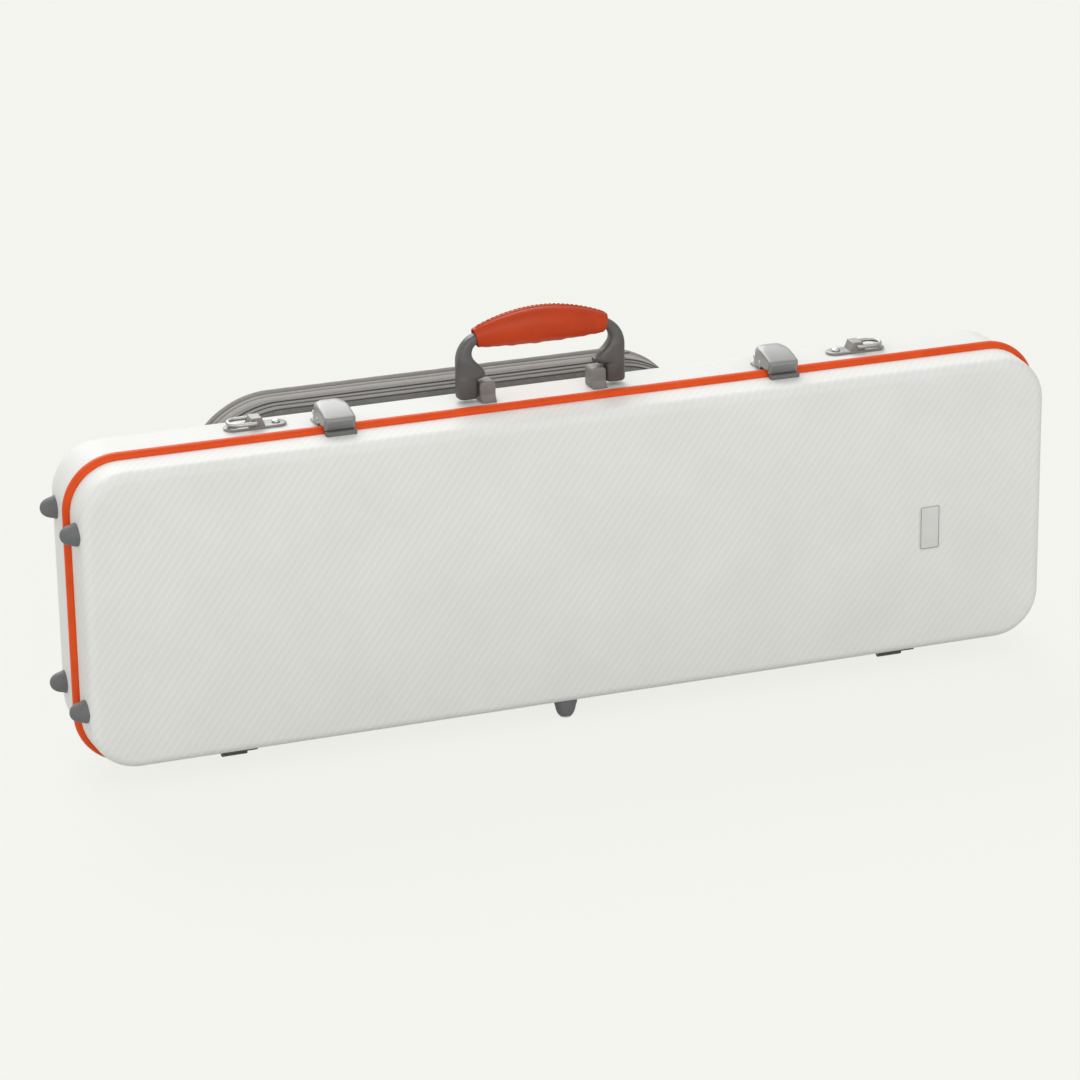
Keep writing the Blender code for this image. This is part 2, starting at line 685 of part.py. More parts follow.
def make_hinges():
    """Each hinge: two outer knuckles on the back shell, one middle knuckle on the lid."""
    axis_z = -HINGE_DROP
    half = HINGE_WIDTH / 2
    span = KNUCKLE_SPAN / 2
    middle = KNUCKLE_MIDDLE / 2
    for end, sign in (("left", -1), ("right", 1)):
        x = sign * HINGE_X
        for owner, side, carrier in (("body", 1, "case_datum"), ("lid", -1, "lid_axis")):
            tag = owner + "_" + end
            plate = prism(hinge_plate(side), x - half, x + half)
            leaf = piece("hinge_leaf_" + tag, plate, "grey_plastic", carrier)
            merge(leaf, "knuckle_" + tag, prism(hinge_knuckle(side), x - span, x + span), carrier)
            reach = KNUCKLE_RADIUS + CLEARANCE
            edge = middle + (CLEARANCE if side > 0 else 0.0)
            spans = [(-edge, edge)] if side > 0 else [(-half, -edge), (edge, half)]
            for n, (low, high) in enumerate(spans):
                cut(leaf, "knuckle_gap_" + tag + str(n), rod(
                    (x + low, 0.0, axis_z), (x + high, 0.0, axis_z), reach), carrier)
            cut(leaf, "hinge_bore_" + tag, rod(
                (x - half, 0.0, axis_z), (x + half, 0.0, axis_z), HINGE_PIN_RADIUS + CLEARANCE), carrier)
        piece("hinge_pin_" + end, rod((x - span, 0.0, axis_z), (x + span, 0.0, axis_z), HINGE_PIN_RADIUS),
              "bright_steel")


def handle_height(x):
    """Height of the handle's centre line over its pins: round bends and a low arch between."""
    if abs(x) <= ARCH_SPAN:
        return LEG_STRAIGHT + LEG_BEND + ARCH_RISE * cos(pi / 2 * x / ARCH_SPAN) ** 2
    return LEG_STRAIGHT + sqrt(LEG_BEND ** 2 - (abs(x) - ARCH_SPAN) ** 2)


def handle_stations():
    """(x, z, width) along the handle from the left pin to the right: leg, bend, arch."""
    left = [(-LEG_X, z, LEG_WIDTH) for z in (-LEG_WIDTH * 0.38, 0.0, LEG_STRAIGHT / 2, LEG_STRAIGHT)]
    bend_steps = 5
    for k in range(1, bend_steps + 1):
        turn = pi / 2 * k / bend_steps
        width = LEG_WIDTH + (CORE_WIDTH - LEG_WIDTH) * min(2 * k / bend_steps, 1.0)
        left.append((-LEG_X + LEG_BEND * (1 - cos(turn)), LEG_STRAIGHT + LEG_BEND * sin(turn), width))
    arch = []
    for k in range(1, 6):
        x = -ARCH_SPAN + 2 * ARCH_SPAN * k / 6
        arch.append((x, handle_height(x), CORE_WIDTH))
    return left + arch + [(-x, z, width) for x, z, width in left[::-1]]


def swept_band(stations, depth_of, turn_of, width_of):
    """Superellipse rings across a path of stations in the handle's plane."""
    rings = []
    for k, (x, z, width) in enumerate(stations):
        before = stations[max(k - 1, 0)]
        after = stations[min(k + 1, len(stations) - 1)]
        along = Vector((after[0] - before[0], 0.0, after[1] - before[1])).normalized()
        across = along.cross(Vector((0, 1, 0)))
        centre = Vector((HANDLE_X + x, HANDLE_Y, CASE_HEIGHT + HANDLE_PIN_LIFT + z))
        ring = []
        for n in range(12):
            turn = 2 * pi * n / 12
            ring.append(centre + across * (width_of(k) / 2 * round_share(cos(turn), turn_of))
                        + Vector((0, 1, 0)) * (depth_of(k) / 2 * round_share(sin(turn), turn_of)))
        rings.append(ring)
    return rings


def round_share(value, power):
    """Superellipse coordinate: power 1 is a circle, less is squarer."""
    return (abs(value) ** power) * (1 if value >= 0 else -1)


def make_handle():
    pin_z = CASE_HEIGHT + HANDLE_PIN_LIFT
    stations = handle_stations()
    depths = [LEG_THICKNESS if width > CORE_WIDTH else CORE_WIDTH for _, _, width in stations]
    arch = piece("handle_arch", loft(swept_band(
        stations, lambda k: depths[k], 0.7, lambda k: stations[k][2])), "grey_plastic", "handle_axis")

    grip_half = GRIP_LENGTH / 2
    steps = 12
    line = []
    for k in range(steps + 1):
        x = -grip_half + GRIP_LENGTH * k / steps
        swell = GRIP_END + (GRIP_MIDDLE - GRIP_END) * max(1 - (x / grip_half) ** 2, 0.0) ** GRIP_FULLNESS
        line.append((x, handle_height(x), swell))
    sizes = [width for _, _, width in line]
    grip = piece("handle_grip", loft(swept_band(
        line, lambda k: sizes[k] * GRIP_DEPTH_SHARE, 0.85, lambda k: sizes[k])),
        "orange_leather", "handle_axis")
    bore = [width + 2 * CLEARANCE for _, _, width in stations]
    bore_depth = [depth + 2 * CLEARANCE for depth in depths]
    cut(grip, "grip_bore", loft(swept_band(
        stations, lambda k: bore_depth[k], 0.7, lambda k: bore[k])), "handle_axis")

    for end, sign in (("left", -1), ("right", 1)):
        x = HANDLE_X + sign * BRACKET_SPREAD / 2
        outer = x + sign * (BRACKET_WIDTH / 2 + CLEARANCE + LEG_WIDTH)
        inner = x - sign * BRACKET_WIDTH / 4
        half = BRACKET_DEPTH / 2
        foot = CASE_HEIGHT + CLEARANCE
        crown = half * 0.6
        crest = disc_profile((HANDLE_Y, CASE_HEIGHT + BRACKET_HEIGHT - crown), crown, 0.0, 180.0, 8)
        profile = [(HANDLE_Y - half, foot), (HANDLE_Y + half, foot)] + crest
        bracket = piece("handle_bracket_" + end, prism(
            profile, x - BRACKET_WIDTH / 2, x + BRACKET_WIDTH / 2), "grey_plastic")
        hole = HANDLE_PIN_RADIUS + CLEARANCE
        cut(bracket, "bracket_hole_" + end, rod(
            (inner - sign * CLEARANCE, HANDLE_Y, pin_z), (outer + sign * LEG_WIDTH, HANDLE_Y, pin_z), hole))
        cut(arch, "leg_hole_" + end, rod(
            (x, HANDLE_Y, pin_z), (outer + sign * LEG_WIDTH, HANDLE_Y, pin_z), hole), "handle_axis")
        pin = rod((inner, HANDLE_Y, pin_z), (outer, HANDLE_Y, pin_z), HANDLE_PIN_RADIUS)
        piece("handle_pin_" + end, pin, "grey_plastic", "handle_axis")


def make_strap_rings():
    """Riveted plate with a raised block; the ring's bar turns in the block."""
    seat = CASE_HEIGHT + CLEARANCE
    top = seat + RING_PLATE_THICKNESS
    bar_z = seat + RING_BAR_LIFT
    for end, sign in (("left", -1), ("right", 1)):
        x = sign * RING_X + RING_SHIFT
        outline = rounded_outline(RING_PLATE_LENGTH / 2, RING_PLATE_WIDTH / 2, RING_PLATE_WIDTH / 2)
        plate = piece("strap_ring_plate_" + end, loft([
            [Vector((x + a, RING_Y + b, z)) for a, b in outline] for z in (seat, top)]), "grey_plastic")
        half = RING_BLOCK_WIDTH / 2
        low, high = RING_BLOCK_LENGTH / 2, RING_BLOCK_TOP / 2
        crest = seat + RING_BLOCK_HEIGHT
        sides = [(-low, seat), (low, seat), (high, crest), (-high, crest)]
        hump = loft([[Vector((x + a, y, z)) for a, z in sides] for y in (RING_Y - half, RING_Y + half)])
        merge(plate, "ring_block_" + end, hump, "case_datum")
        cut(plate, "ring_bar_hole_" + end, rod(
            (x, RING_Y - RING_WIDTH, bar_z), (x, RING_Y + RING_WIDTH, bar_z), RING_WIRE / 2 + CLEARANCE))
        carrier = "strap_ring_axis_" + end
        pivot(carrier, (x, RING_Y, bar_z), "case_datum")
        piece("strap_ring_" + end, wire_loop(ring_path(x, sign, bar_z), RING_WIRE / 2, (0, 0, 1)),
              "bright_steel", carrier)
        for spot, place in ((-sign, "inner"), (sign, "outer")):
            rivet = turned(
                [(RING_RIVET_RADIUS, CLEARANCE), (RING_RIVET_RADIUS * 0.9, RING_RIVET_HEIGHT * 0.6),
                 (RING_RIVET_RADIUS * 0.5, RING_RIVET_HEIGHT)],
                (x + spot * RING_RIVET_SPREAD / 2, RING_Y, top), (0, 0, 1), 12)
            piece("strap_ring_rivet_" + end + "_" + place, rivet, "bright_steel")


def ring_path(x, sign, z):
    """Centre line of the D ring: bar along Y, two short legs and a round bow outwards."""
    half = (RING_WIDTH - RING_WIRE) / 2
    reach = RING_REACH - RING_WIRE / 2
    corner = half - RING_BLOCK_WIDTH / 2 - CLEARANCE
    points = []
    for k in range(3):
        turn = pi / 2 * k / 2
        points.append((corner * (1 - sin(turn)), half - corner * (1 - cos(turn))))
    points.reverse()
    for k in range(9):
        turn = pi / 2 - pi * k / 8
        points.append((reach - half + half * cos(turn), half * sin(turn)))
    points += [(a, -b) for a, b in points[:3][::-1]]
    points.append((0.0, 0.0))
    return [Vector((x + sign * a, RING_Y + b, z)) for a, b in points]


def make_latches():
    for end, sign in (("left", -1), ("right", 1)):
        x = sign * LATCH_X + LATCH_SHIFT
        make_latch(end, x)


def lever_profile():
    """Side view of the lever as (y, height over the shell)."""
    pin = (LEVER_PIN_Y, LEVER_PIN_LIFT)
    heel = disc_profile(pin, LEVER_HEEL_RADIUS, -90.0, 12.0, 6)
    step_y = TRIM_WIDTH / 2 + LATCH_SKIN
    return heel + [
        (LEVER_PIN_Y - CLEARANCE, LEVER_APEX_LIFT), (LEVER_NOSE_Y + LATCH_SKIN, LEVER_NOSE_TOP),
        (LEVER_NOSE_Y, LEVER_NOSE_BOTTOM + LATCH_SKIN), (LEVER_NOSE_Y, LEVER_NOSE_BOTTOM),
        (step_y, LEVER_NOSE_BOTTOM), (step_y + LATCH_SKIN, LEVER_PIN_LIFT - LEVER_HEEL_RADIUS),
    ]


def raised(profile):
    return [(y, CASE_HEIGHT + z) for y, z in profile]


def make_latch(end, x):
    lever_axis, link_axis = "latch_lever_axis_" + end, "latch_link_axis_" + end
    pivot(lever_axis, (x, LEVER_PIN_Y, CASE_HEIGHT + LEVER_PIN_LIFT), "case_datum")
    pivot(link_axis, (x, LINK_PIN_Y, CASE_HEIGHT + LINK_PIN_LIFT), lever_axis)
    half = LATCH_WIDTH / 2
    hollow = half - LATCH_SKIN

    solid = prism(raised(lever_profile()), x - half, x + half)
    lever = piece("latch_lever_" + end, solid, "latch_grey", lever_axis)
    low = -LATCH_SKIN
    rear = LEVER_PIN_Y + 2 * LEVER_HEEL_RADIUS
    channel = [
        (rear, low), (rear, LEVER_PIN_LIFT), (LEVER_PIN_Y, LEVER_APEX_LIFT - LATCH_SKIN),
        (LEVER_NOSE_Y + LATCH_SKIN, LEVER_NOSE_TOP - LATCH_SKIN), (LEVER_NOSE_Y + LATCH_SKIN, low),
    ]
    cut(lever, "lever_channel_" + end, prism(raised(channel), x - hollow, x + hollow), lever_axis)
    pins = (
        ("latch_lever_pin_", LEVER_PIN_Y, LEVER_PIN_LIFT, LEVER_PIN_RADIUS, "case_datum"),
        ("latch_link_pin_", LINK_PIN_Y, LINK_PIN_LIFT, LINK_PIN_RADIUS, lever_axis),
    )
    for name, y, lift, radius, carrier in pins:
        z = CASE_HEIGHT + lift
        piece(name + end, rod((x - half, y, z), (x + half, y, z), radius, 12), "bright_steel", carrier)
        cut(lever, name + "hole_" + end, rod(
            (x - 2 * half, y, z), (x + 2 * half, y, z), radius + CLEARANCE, 12), lever_axis)

    make_latch_base(end, x)
    make_latch_link(end, x, link_axis)
    make_latch_catch(end, x)


def make_latch_base(end, x):
    """Plate on the back shell with two lugs that hold the lever's pin."""
    half = LATCH_WIDTH / 2
    front = TRIM_WIDTH / 2 + 2 * CLEARANCE
    low, high = CASE_HEIGHT + CLEARANCE, CASE_HEIGHT + CLEARANCE + LATCH_BASE_THICKNESS
    plate = block((x - half, front, low), (x + half, LATCH_BASE_REAR, high))
    base = piece("latch_base_" + end, plate, "latch_grey")
    crest = disc_profile((LEVER_PIN_Y, LEVER_PIN_LIFT), LUG_RADIUS, 0.0, 180.0, 8)
    foot = CLEARANCE + LATCH_BASE_THICKNESS / 2
    lug = raised([(LEVER_PIN_Y - LUG_RADIUS, foot), (LEVER_PIN_Y + LUG_RADIUS, foot)] + crest)
    for n, sign in enumerate((-1, 1)):
        edges = sorted((x + sign * LUG_GAP / 2, x + sign * (LUG_GAP / 2 + LUG_WIDTH)))
        merge(base, "latch_lug_" + end + str(n), prism(lug, edges[0], edges[1]), "case_datum")
    z = CASE_HEIGHT + LEVER_PIN_LIFT
    cut(base, "lug_hole_" + end, rod(
        (x - half, LEVER_PIN_Y, z), (x + half, LEVER_PIN_Y, z), LEVER_PIN_RADIUS + CLEARANCE, 12))


def make_latch_link(end, x, carrier):
    """Draw link on the lever's second pin, with a hook turned down at its front end."""
    eye = LINK_PIN_RADIUS + LINK_THICKNESS * 0.6
    low, high = LINK_PIN_LIFT - LINK_THICKNESS / 2, LINK_PIN_LIFT + LINK_THICKNESS / 2
    tip = LEVER_NOSE_BOTTOM
    bow = disc_profile((LINK_PIN_Y, LINK_PIN_LIFT), eye, -150.0, 150.0, 10)
    profile = bow + [
        (LINK_HOOK_Y + LINK_THICKNESS, high), (LINK_HOOK_Y, low), (LINK_HOOK_Y, tip),
        (LINK_HOOK_Y + LINK_THICKNESS, tip),
        (LINK_HOOK_Y + LINK_THICKNESS, low),
    ]
    half = LINK_WIDTH / 2
    link = piece("latch_link_" + end, prism(raised(profile), x - half, x + half), "bright_steel", carrier)
    z = CASE_HEIGHT + LINK_PIN_LIFT
    hole = LINK_PIN_RADIUS + CLEARANCE
    cut(link, "link_hole_" + end, rod(
        (x - half * 2, LINK_PIN_Y, z), (x + half * 2, LINK_PIN_Y, z), hole, 12), carrier)


def make_latch_catch(end, x):
    """Catch plate on the lid with a lip under the lever's nose."""
    half = LATCH_WIDTH / 2
    skin = -LID_DRAFT
    low, high = skin - CLEARANCE, CLEARANCE + LATCH_BASE_THICKNESS
    rear = -(TRIM_WIDTH / 2 + 2 * CLEARANCE)
    profile = [
        (CATCH_FRONT_Y, low), (rear, low), (rear, high), (CATCH_LIP_Y + CATCH_LIP_THICKNESS, high),
        (CATCH_LIP_Y + CATCH_LIP_THICKNESS, CATCH_LIP_LIFT), (CATCH_LIP_Y, CATCH_LIP_LIFT),
        (CATCH_LIP_Y, high), (CATCH_FRONT_Y, high),
    ]
    solid = prism(raised(profile), x - half, x + half)
    catch = piece("latch_catch_" + end, solid, "latch_grey", "lid_axis")
    carve(catch, bpy.data.objects["lid_envelope"])


def pocket_ring(inset, y):
    half_z = (POCKET_TOP - POCKET_BOTTOM) / 2
    centre = (POCKET_X, (POCKET_TOP + POCKET_BOTTOM) / 2)
    return upright_ring(POCKET_WIDTH / 2 - inset, half_z - inset, POCKET_CORNER - inset, y, centre)


def pocket_body(shrink):
    """Bag shape with rounded edges front and rear, drawn in by shrink on every side."""
    edge = POCKET_EDGE - shrink
    front, rear = POCKET_FRONT + shrink, POCKET_REAR - shrink
    half = []
    for step in range(EDGE_STEPS + 1):
        turn = pi / 2 * step / EDGE_STEPS
        half.append((shrink + edge * (1 - sin(turn)), front + edge * (1 - cos(turn))))
    rings = half + [(inset, front + rear - y) for inset, y in half[::-1]]
    return loft([pocket_ring(inset, y) for inset, y in rings])


def make_pocket():
    """Soft bag on a hook-and-loop panel, piped round its rear edge, with a zip over its mouth."""
    bag = piece("music_pocket", pocket_body(0.0), "pocket_fabric")
    cut(bag, "pocket_hollow", pocket_body(POCKET_WALL))
    half_x = POCKET_WIDTH / 2 - POCKET_CORNER
    cut(bag, "pocket_mouth", block(
        (POCKET_X - half_x, ZIP_Y - POCKET_MOUTH / 2, POCKET_TOP - 2 * POCKET_WALL),
        (POCKET_X + half_x, ZIP_Y + POCKET_MOUTH / 2, POCKET_TOP + POCKET_WALL)))

    piping = []
    for n in range(WIRE_SIDES):
        turn = 2 * pi * n / WIRE_SIDES
        inset = -PIPING_OFFSET + PIPING_RADIUS * cos(turn)
        piping.append((inset, POCKET_REAR + PIPING_OFFSET + PIPING_RADIUS * sin(turn)))
    piece("pocket_piping", loft([pocket_ring(inset, y) for inset, y in piping], loop=True), "pocket_fabric")

    seat = BODY_DEPTH + CLEARANCE
    half_z = (POCKET_TOP - POCKET_BOTTOM) / 2 - FIXING_INSET
    panel = loft([
        upright_ring(POCKET_WIDTH / 2 - FIXING_INSET, half_z, WELL_RADIUS, y,
                     (POCKET_X, (POCKET_TOP + POCKET_BOTTOM) / 2))
        for y in (seat, seat + FIXING_THICKNESS)
    ])
    piece("pocket_fixing_panel", panel, "lining_fabric")
    make_zip()


def zip_path(lift):
    """The zip's line over the pocket's top: up one side, over both corners and down the other."""
    half = POCKET_WIDTH / 2 - POCKET_CORNER
    radius = POCKET_CORNER + lift
    crown_z = POCKET_TOP - POCKET_CORNER
    right = [(half + radius, crown_z - ZIP_SIDE_RUN)]
    for k in range(ARC_STEPS + 1):
        turn = pi / 2 * k / ARC_STEPS
        right.append((half + radius * cos(turn), crown_z + radius * sin(turn)))
    return right + [(-x, z) for x, z in right[::-1]]


def make_zip():
    middle = ZIP_Y
    low, high = middle - ZIP_WIDTH / 2, middle + ZIP_WIDTH / 2
    under, over = CLEARANCE, CLEARANCE + ZIP_THICKNESS
    rings = []
    for lift, y in ((under, low), (under, high), (over, high), (over, low)):
        rings.append([Vector((POCKET_X + x, y, z)) for x, z in zip_path(lift)])
    sections = [list(section) for section in zip(*rings)]
    piece("pocket_zip", loft(sections), "pocket_fabric")

    seat = POCKET_TOP + 2 * CLEARANCE + ZIP_THICKNESS
    x = POCKET_X + POCKET_WIDTH / 2 - POCKET_CORNER - SLIDER_END_GAP
    top = seat + SLIDER_HEIGHT
    barrel_z = top + PULL_BARREL_RADIUS + CLEARANCE
    pivot("zip_slider_start", (x, middle, seat), "case_datum")
    pivot("zip_pull_axis", (x, middle, barrel_z), "zip_slider_start")
    half = SLIDER_WIDTH / 2
    nose = SLIDER_LENGTH / 2
    outline = [(nose, half * 0.7), (-nose, half), (-nose, -half), (nose, -half * 0.7)]
    wedge = loft([[Vector((x + a, middle + b, z)) for a, b in outline] for z in (seat, top)])
    slider = piece("zip_slider", wedge, "grey_plastic", "zip_slider_start")
    inner = PULL_WIDTH / 2 + CLEARANCE
    reach = PULL_BARREL_RADIUS
    crest = barrel_z + PULL_BARREL_RADIUS
    for n, sign in enumerate((-1, 1)):
        edges = sorted((middle + sign * inner, middle + sign * (inner + PULL_LUG)))
        lug = block((x - reach, edges[0], seat + SLIDER_HEIGHT / 2), (x + reach, edges[1], crest))
        merge(slider, "slider_lug_" + str(n), lug, "zip_slider_start")
    side = PULL_WIDTH / 2
    barrel = rod((x, middle - side, barrel_z), (x, middle + side, barrel_z), PULL_BARREL_RADIUS, 12)
    pull = piece("zip_pull", barrel, "grey_plastic", "zip_pull_axis")
    tab_low = barrel_z - PULL_THICKNESS / 2
    tab = block((x, middle - PULL_WIDTH * 0.45, tab_low),
                (x + PULL_LENGTH, middle + PULL_WIDTH * 0.45, tab_low + PULL_THICKNESS))
    merge(pull, "zip_pull_tab", tab, "zip_pull_axis")


def main():
    clear_scene()
    pivot("case_datum", (0.0, 0.0, 0.0))
    pivots["case_datum"].location = (DATUM_X, SEAM_Y, FOOT_HEIGHT)
    pivot("lid_axis", (0.0, 0.0, -HINGE_DROP), "case_datum")
    pivot("handle_axis", (HANDLE_X, HANDLE_Y, CASE_HEIGHT + HANDLE_PIN_LIFT), "case_datum")
    make_envelopes()
    make_shells()
    make_trim()
    make_tray()
    make_lid_fittings()
    make_bumpers_and_feet()
    make_hinges()
    make_handle()
    make_strap_rings()
    make_latches()
    make_pocket()


main()
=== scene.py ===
import math

import bmesh
import bpy
import numpy as np
from mathutils import Matrix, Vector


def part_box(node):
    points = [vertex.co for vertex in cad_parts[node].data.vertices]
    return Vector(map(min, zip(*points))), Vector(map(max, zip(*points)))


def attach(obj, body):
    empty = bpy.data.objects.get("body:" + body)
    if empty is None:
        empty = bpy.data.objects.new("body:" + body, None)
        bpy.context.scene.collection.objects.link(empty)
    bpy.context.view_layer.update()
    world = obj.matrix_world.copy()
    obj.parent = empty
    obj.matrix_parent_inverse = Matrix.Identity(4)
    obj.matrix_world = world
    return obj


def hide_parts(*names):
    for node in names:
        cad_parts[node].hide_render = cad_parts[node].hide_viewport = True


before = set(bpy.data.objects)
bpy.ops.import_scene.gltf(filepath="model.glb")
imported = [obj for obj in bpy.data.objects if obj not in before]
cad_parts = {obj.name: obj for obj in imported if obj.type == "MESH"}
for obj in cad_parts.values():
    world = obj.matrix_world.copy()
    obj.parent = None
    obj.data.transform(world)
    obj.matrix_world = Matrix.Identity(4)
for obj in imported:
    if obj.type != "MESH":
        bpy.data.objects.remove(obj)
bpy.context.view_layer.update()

# case frame: x along the case, y = 0 on the seam with the lid at -y, z = 0 on the shells' lower outline
caseSize = {
    "halfLength": 0.400, "height": 0.2412, "corner": 0.0391, "wall": 0.0025, "gap": 0.0003,
    "lidDepth": 0.0346, "lidEdge": 0.0085, "lidDraft": 0.0013, "lidCrown": 0.0030,
    "bodyDepth": 0.0741, "bodyEdge": 0.029, "beadWidth": 0.010, "beadProud": 0.0045,
}
cs = caseSize
topZ, middleZ = cs["height"], cs["height"] / 2
seatZ = topZ + cs["gap"]  # fittings stand on the top wall with this clearance
shellLow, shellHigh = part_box("back_shell")
caseOrigin = np.array((
    (shellLow[0] + shellHigh[0]) / 2,
    shellHigh[1] - cs["bodyDepth"],
    shellLow[2],
))


def mm(*sizes):
    # sizes or points given in millimetres
    return np.array(sizes) / 1000.0


def layPoints(x, y, z):
    # three coordinates, of shapes that fit together, as one array of points
    return np.stack(np.broadcast_arrays(x, y, z), axis=-1)


def ramp(value, low, high):
    # 0 up to low, 1 from high on, straight between
    return np.clip((value - low) / (high - low), 0.0, 1.0)


def gridPart(points, wrapRows=False, wrapCols=False, capEnds=False, flat=None):
    # a grid of points (rows, cols, 3) as quads; its UV map is flat, or else mean arc length each way
    rows, cols = points.shape[:2]
    a, b = np.meshgrid(
        np.arange(rows if wrapRows else rows - 1),
        np.arange(cols if wrapCols else cols - 1), indexing="ij")
    a, b = a.ravel(), b.ravel()
    nextA, nextB = (a + 1) % rows, (b + 1) % cols
    quads = np.stack((a * cols + b, nextA * cols + b, nextA * cols + nextB, a * cols + nextB), axis=1)
    if flat is None:
        stepsA = np.linalg.norm(np.roll(points, -1, axis=0) - points, axis=2).mean(axis=1)
        stepsB = np.linalg.norm(np.roll(points, -1, axis=1) - points, axis=2).mean(axis=0)
        u = np.concatenate(([0.0], np.cumsum(stepsA)))
        v = np.concatenate(([0.0], np.cumsum(stepsB)))
        corners = ((u[a], v[b]), (u[a + 1], v[b]), (u[a + 1], v[b + 1]), (u[a], v[b + 1]))
        uv = np.stack([np.stack(corner, axis=1) for corner in corners], axis=1)
    else:
        uv = np.stack((flat[a, b], flat[nextA, b], flat[nextA, nextB], flat[a, nextB]), axis=1)
    caps = [np.arange(cols), (np.arange(cols) + (rows - 1) * cols)[::-1]] if capEnds else []
    return {"points": points.reshape(-1, 3), "quads": quads, "uv": uv, "caps": caps}


def ringPart(rings, capEnds=True):
    # closed rings joined one to the next
    return gridPart(rings, wrapCols=True, capEnds=capEnds)


def placeObject(name, data):
    item = bpy.data.objects.new(name, data)
    bpy.context.scene.collection.objects.link(item)
    return item


def takeBox(item, low, high):
    # cuts a box out of a closed piece, given by two corners in the case frame
    ends = np.array((low, high)) + caseOrigin
    corners = layPoints(*np.meshgrid(*ends.T, indexing="ij")).reshape(-1, 3)
    sides = [(0, 1, 3, 2), (4, 6, 7, 5), (0, 4, 5, 1), (2, 3, 7, 6), (0, 2, 6, 4), (1, 5, 7, 3)]
    mesh = bpy.data.meshes.new("boxTool")
    mesh.from_pydata(corners.tolist(), [], sides)
    tool = placeObject("boxTool", mesh)
    step = item.modifiers.new("boxCut", "BOOLEAN")
    step.operation, step.solver, step.object = "DIFFERENCE", "EXACT", tool
    item.data = bpy.data.meshes.new_from_object(item.evaluated_get(bpy.context.evaluated_depsgraph_get()))
    item.modifiers.clear()
    bpy.data.objects.remove(tool)
    bpy.data.meshes.remove(mesh)
    return item.data


def addPiece(name, parts, finish, body="case_body", title=None, sharp=38, box=None):
    # one object from one closed grid or several, placed in the frame, doubles merged, faces turned outward;
    # it stands for the CAD node called name, if there is one, and that name in camelCase is its usual title
    words = name.split("_")
    title = title or words[0] + "".join(word.title() for word in words[1:])
    points, faces, uvs, start = [], [], [], 0
    for part in parts if isinstance(parts, list) else [parts]:
        points.append(part["points"])
        faces += (part["quads"] + start).tolist()
        uvs.append(part["uv"].reshape(-1, 2))
        for cap in part["caps"]:
            faces.append((cap + start).tolist())
            uvs.append(part["points"][cap][:, :2])
        start += len(part["points"])
    mesh = bpy.data.meshes.new(title)
    mesh.from_pydata((np.concatenate(points) + caseOrigin).tolist(), [], faces)
    layer = mesh.uv_layers.new(name="UVMap")
    layer.data.foreach_set("uv", np.concatenate(uvs).astype(np.float32).ravel())
    shape = bmesh.new()
    shape.from_mesh(mesh)
    bmesh.ops.remove_doubles(shape, verts=shape.verts[:], dist=1e-6)
    bmesh.ops.dissolve_degenerate(shape, edges=shape.edges[:], dist=1e-7)
    bmesh.ops.recalc_face_normals(shape, faces=shape.faces[:])
    shape.to_mesh(mesh)
    shape.free()
    item = placeObject(title, mesh)
    mesh.materials.append(materials[finish])
    if box:
        mesh = takeBox(item, *box)
    mesh.shade_smooth()
    if sharp:
        mesh.set_sharp_from_angle(angle=math.radians(sharp))
    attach(item, body)
    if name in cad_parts:
        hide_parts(name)
    return item


def dressNode(node, finish):
    # a CAD node keeps its shape and takes a finished material
    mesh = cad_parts[node].data
    mesh.materials.clear()
    mesh.materials.append(materials[finish])


def bevelled(item, width, segments=3, angle=32):
    step = item.modifiers.new("roundedEdges", "BEVEL")
    step.width = width
    step.segments = segments
    step.limit_method = "ANGLE"
    step.angle_limit = math.radians(angle)
    step.use_clamp_overlap = True
    return item


def roundedRing(halfX, halfZ, radius, arcSteps=14, longSteps=30, shortSteps=10):
    # x = wx (halfX - r) + r cos t and z = wz (halfZ - r) + r sin t, where wx, wz run between -1 and 1
    # along the straights and t turns through a quarter at each corner; one row for each given size
    quarter = np.linspace(0.0, np.pi / 2, arcSteps + 1)
    alongX = np.linspace(1.0, -1.0, longSteps + 1)[1:-1]
    alongZ = np.linspace(1.0, -1.0, shortSteps + 1)[1:-1]
    one, oneX, oneZ = np.ones(arcSteps + 1), np.ones(longSteps - 1), np.ones(shortSteps - 1)
    wx = np.concatenate((one, alongX, -one, -oneZ, -one, -alongX, one, oneZ))
    wz = np.concatenate((one, oneX, one, alongZ, -one, -oneX, -one, -alongZ))
    t = np.concatenate((
        quarter, oneX * np.pi / 2, quarter + np.pi / 2, oneZ * np.pi,
        quarter + np.pi, oneX * np.pi * 1.5, quarter + np.pi * 1.5, oneZ * 0.0))
    halfX, halfZ, radius = (np.atleast_1d(size)[:, None] for size in (halfX, halfZ, radius))
    return wx * (halfX - radius) + radius * np.cos(t), wz * (halfZ - radius) + radius * np.sin(t)


def caseRings(inset, y):
    # rings of the case's outline drawn in by inset, one row for each (inset, y)
    inset, y = np.asarray(inset, float), np.asarray(y, float)
    radius = np.maximum(cs["corner"] - inset, 1e-4)
    x, z = roundedRing(cs["halfLength"] - inset, middleZ - inset, radius, **shellSteps)
    return layPoints(x, y[:, None], z + middleZ)


def arcPath(centre, radius, start, end, steps):
    # points of an arc, in degrees
    t = np.radians(np.linspace(start, end, steps + 1))
    return np.stack((centre[0] + radius * np.cos(t), centre[1] + radius * np.sin(t)), axis=1)


def prism(profile, axis, *places):
    # a closed profile of two coordinates carried along one axis through the places
    return ringPart(np.stack([np.insert(profile, axis, place, axis=1) for place in places]))


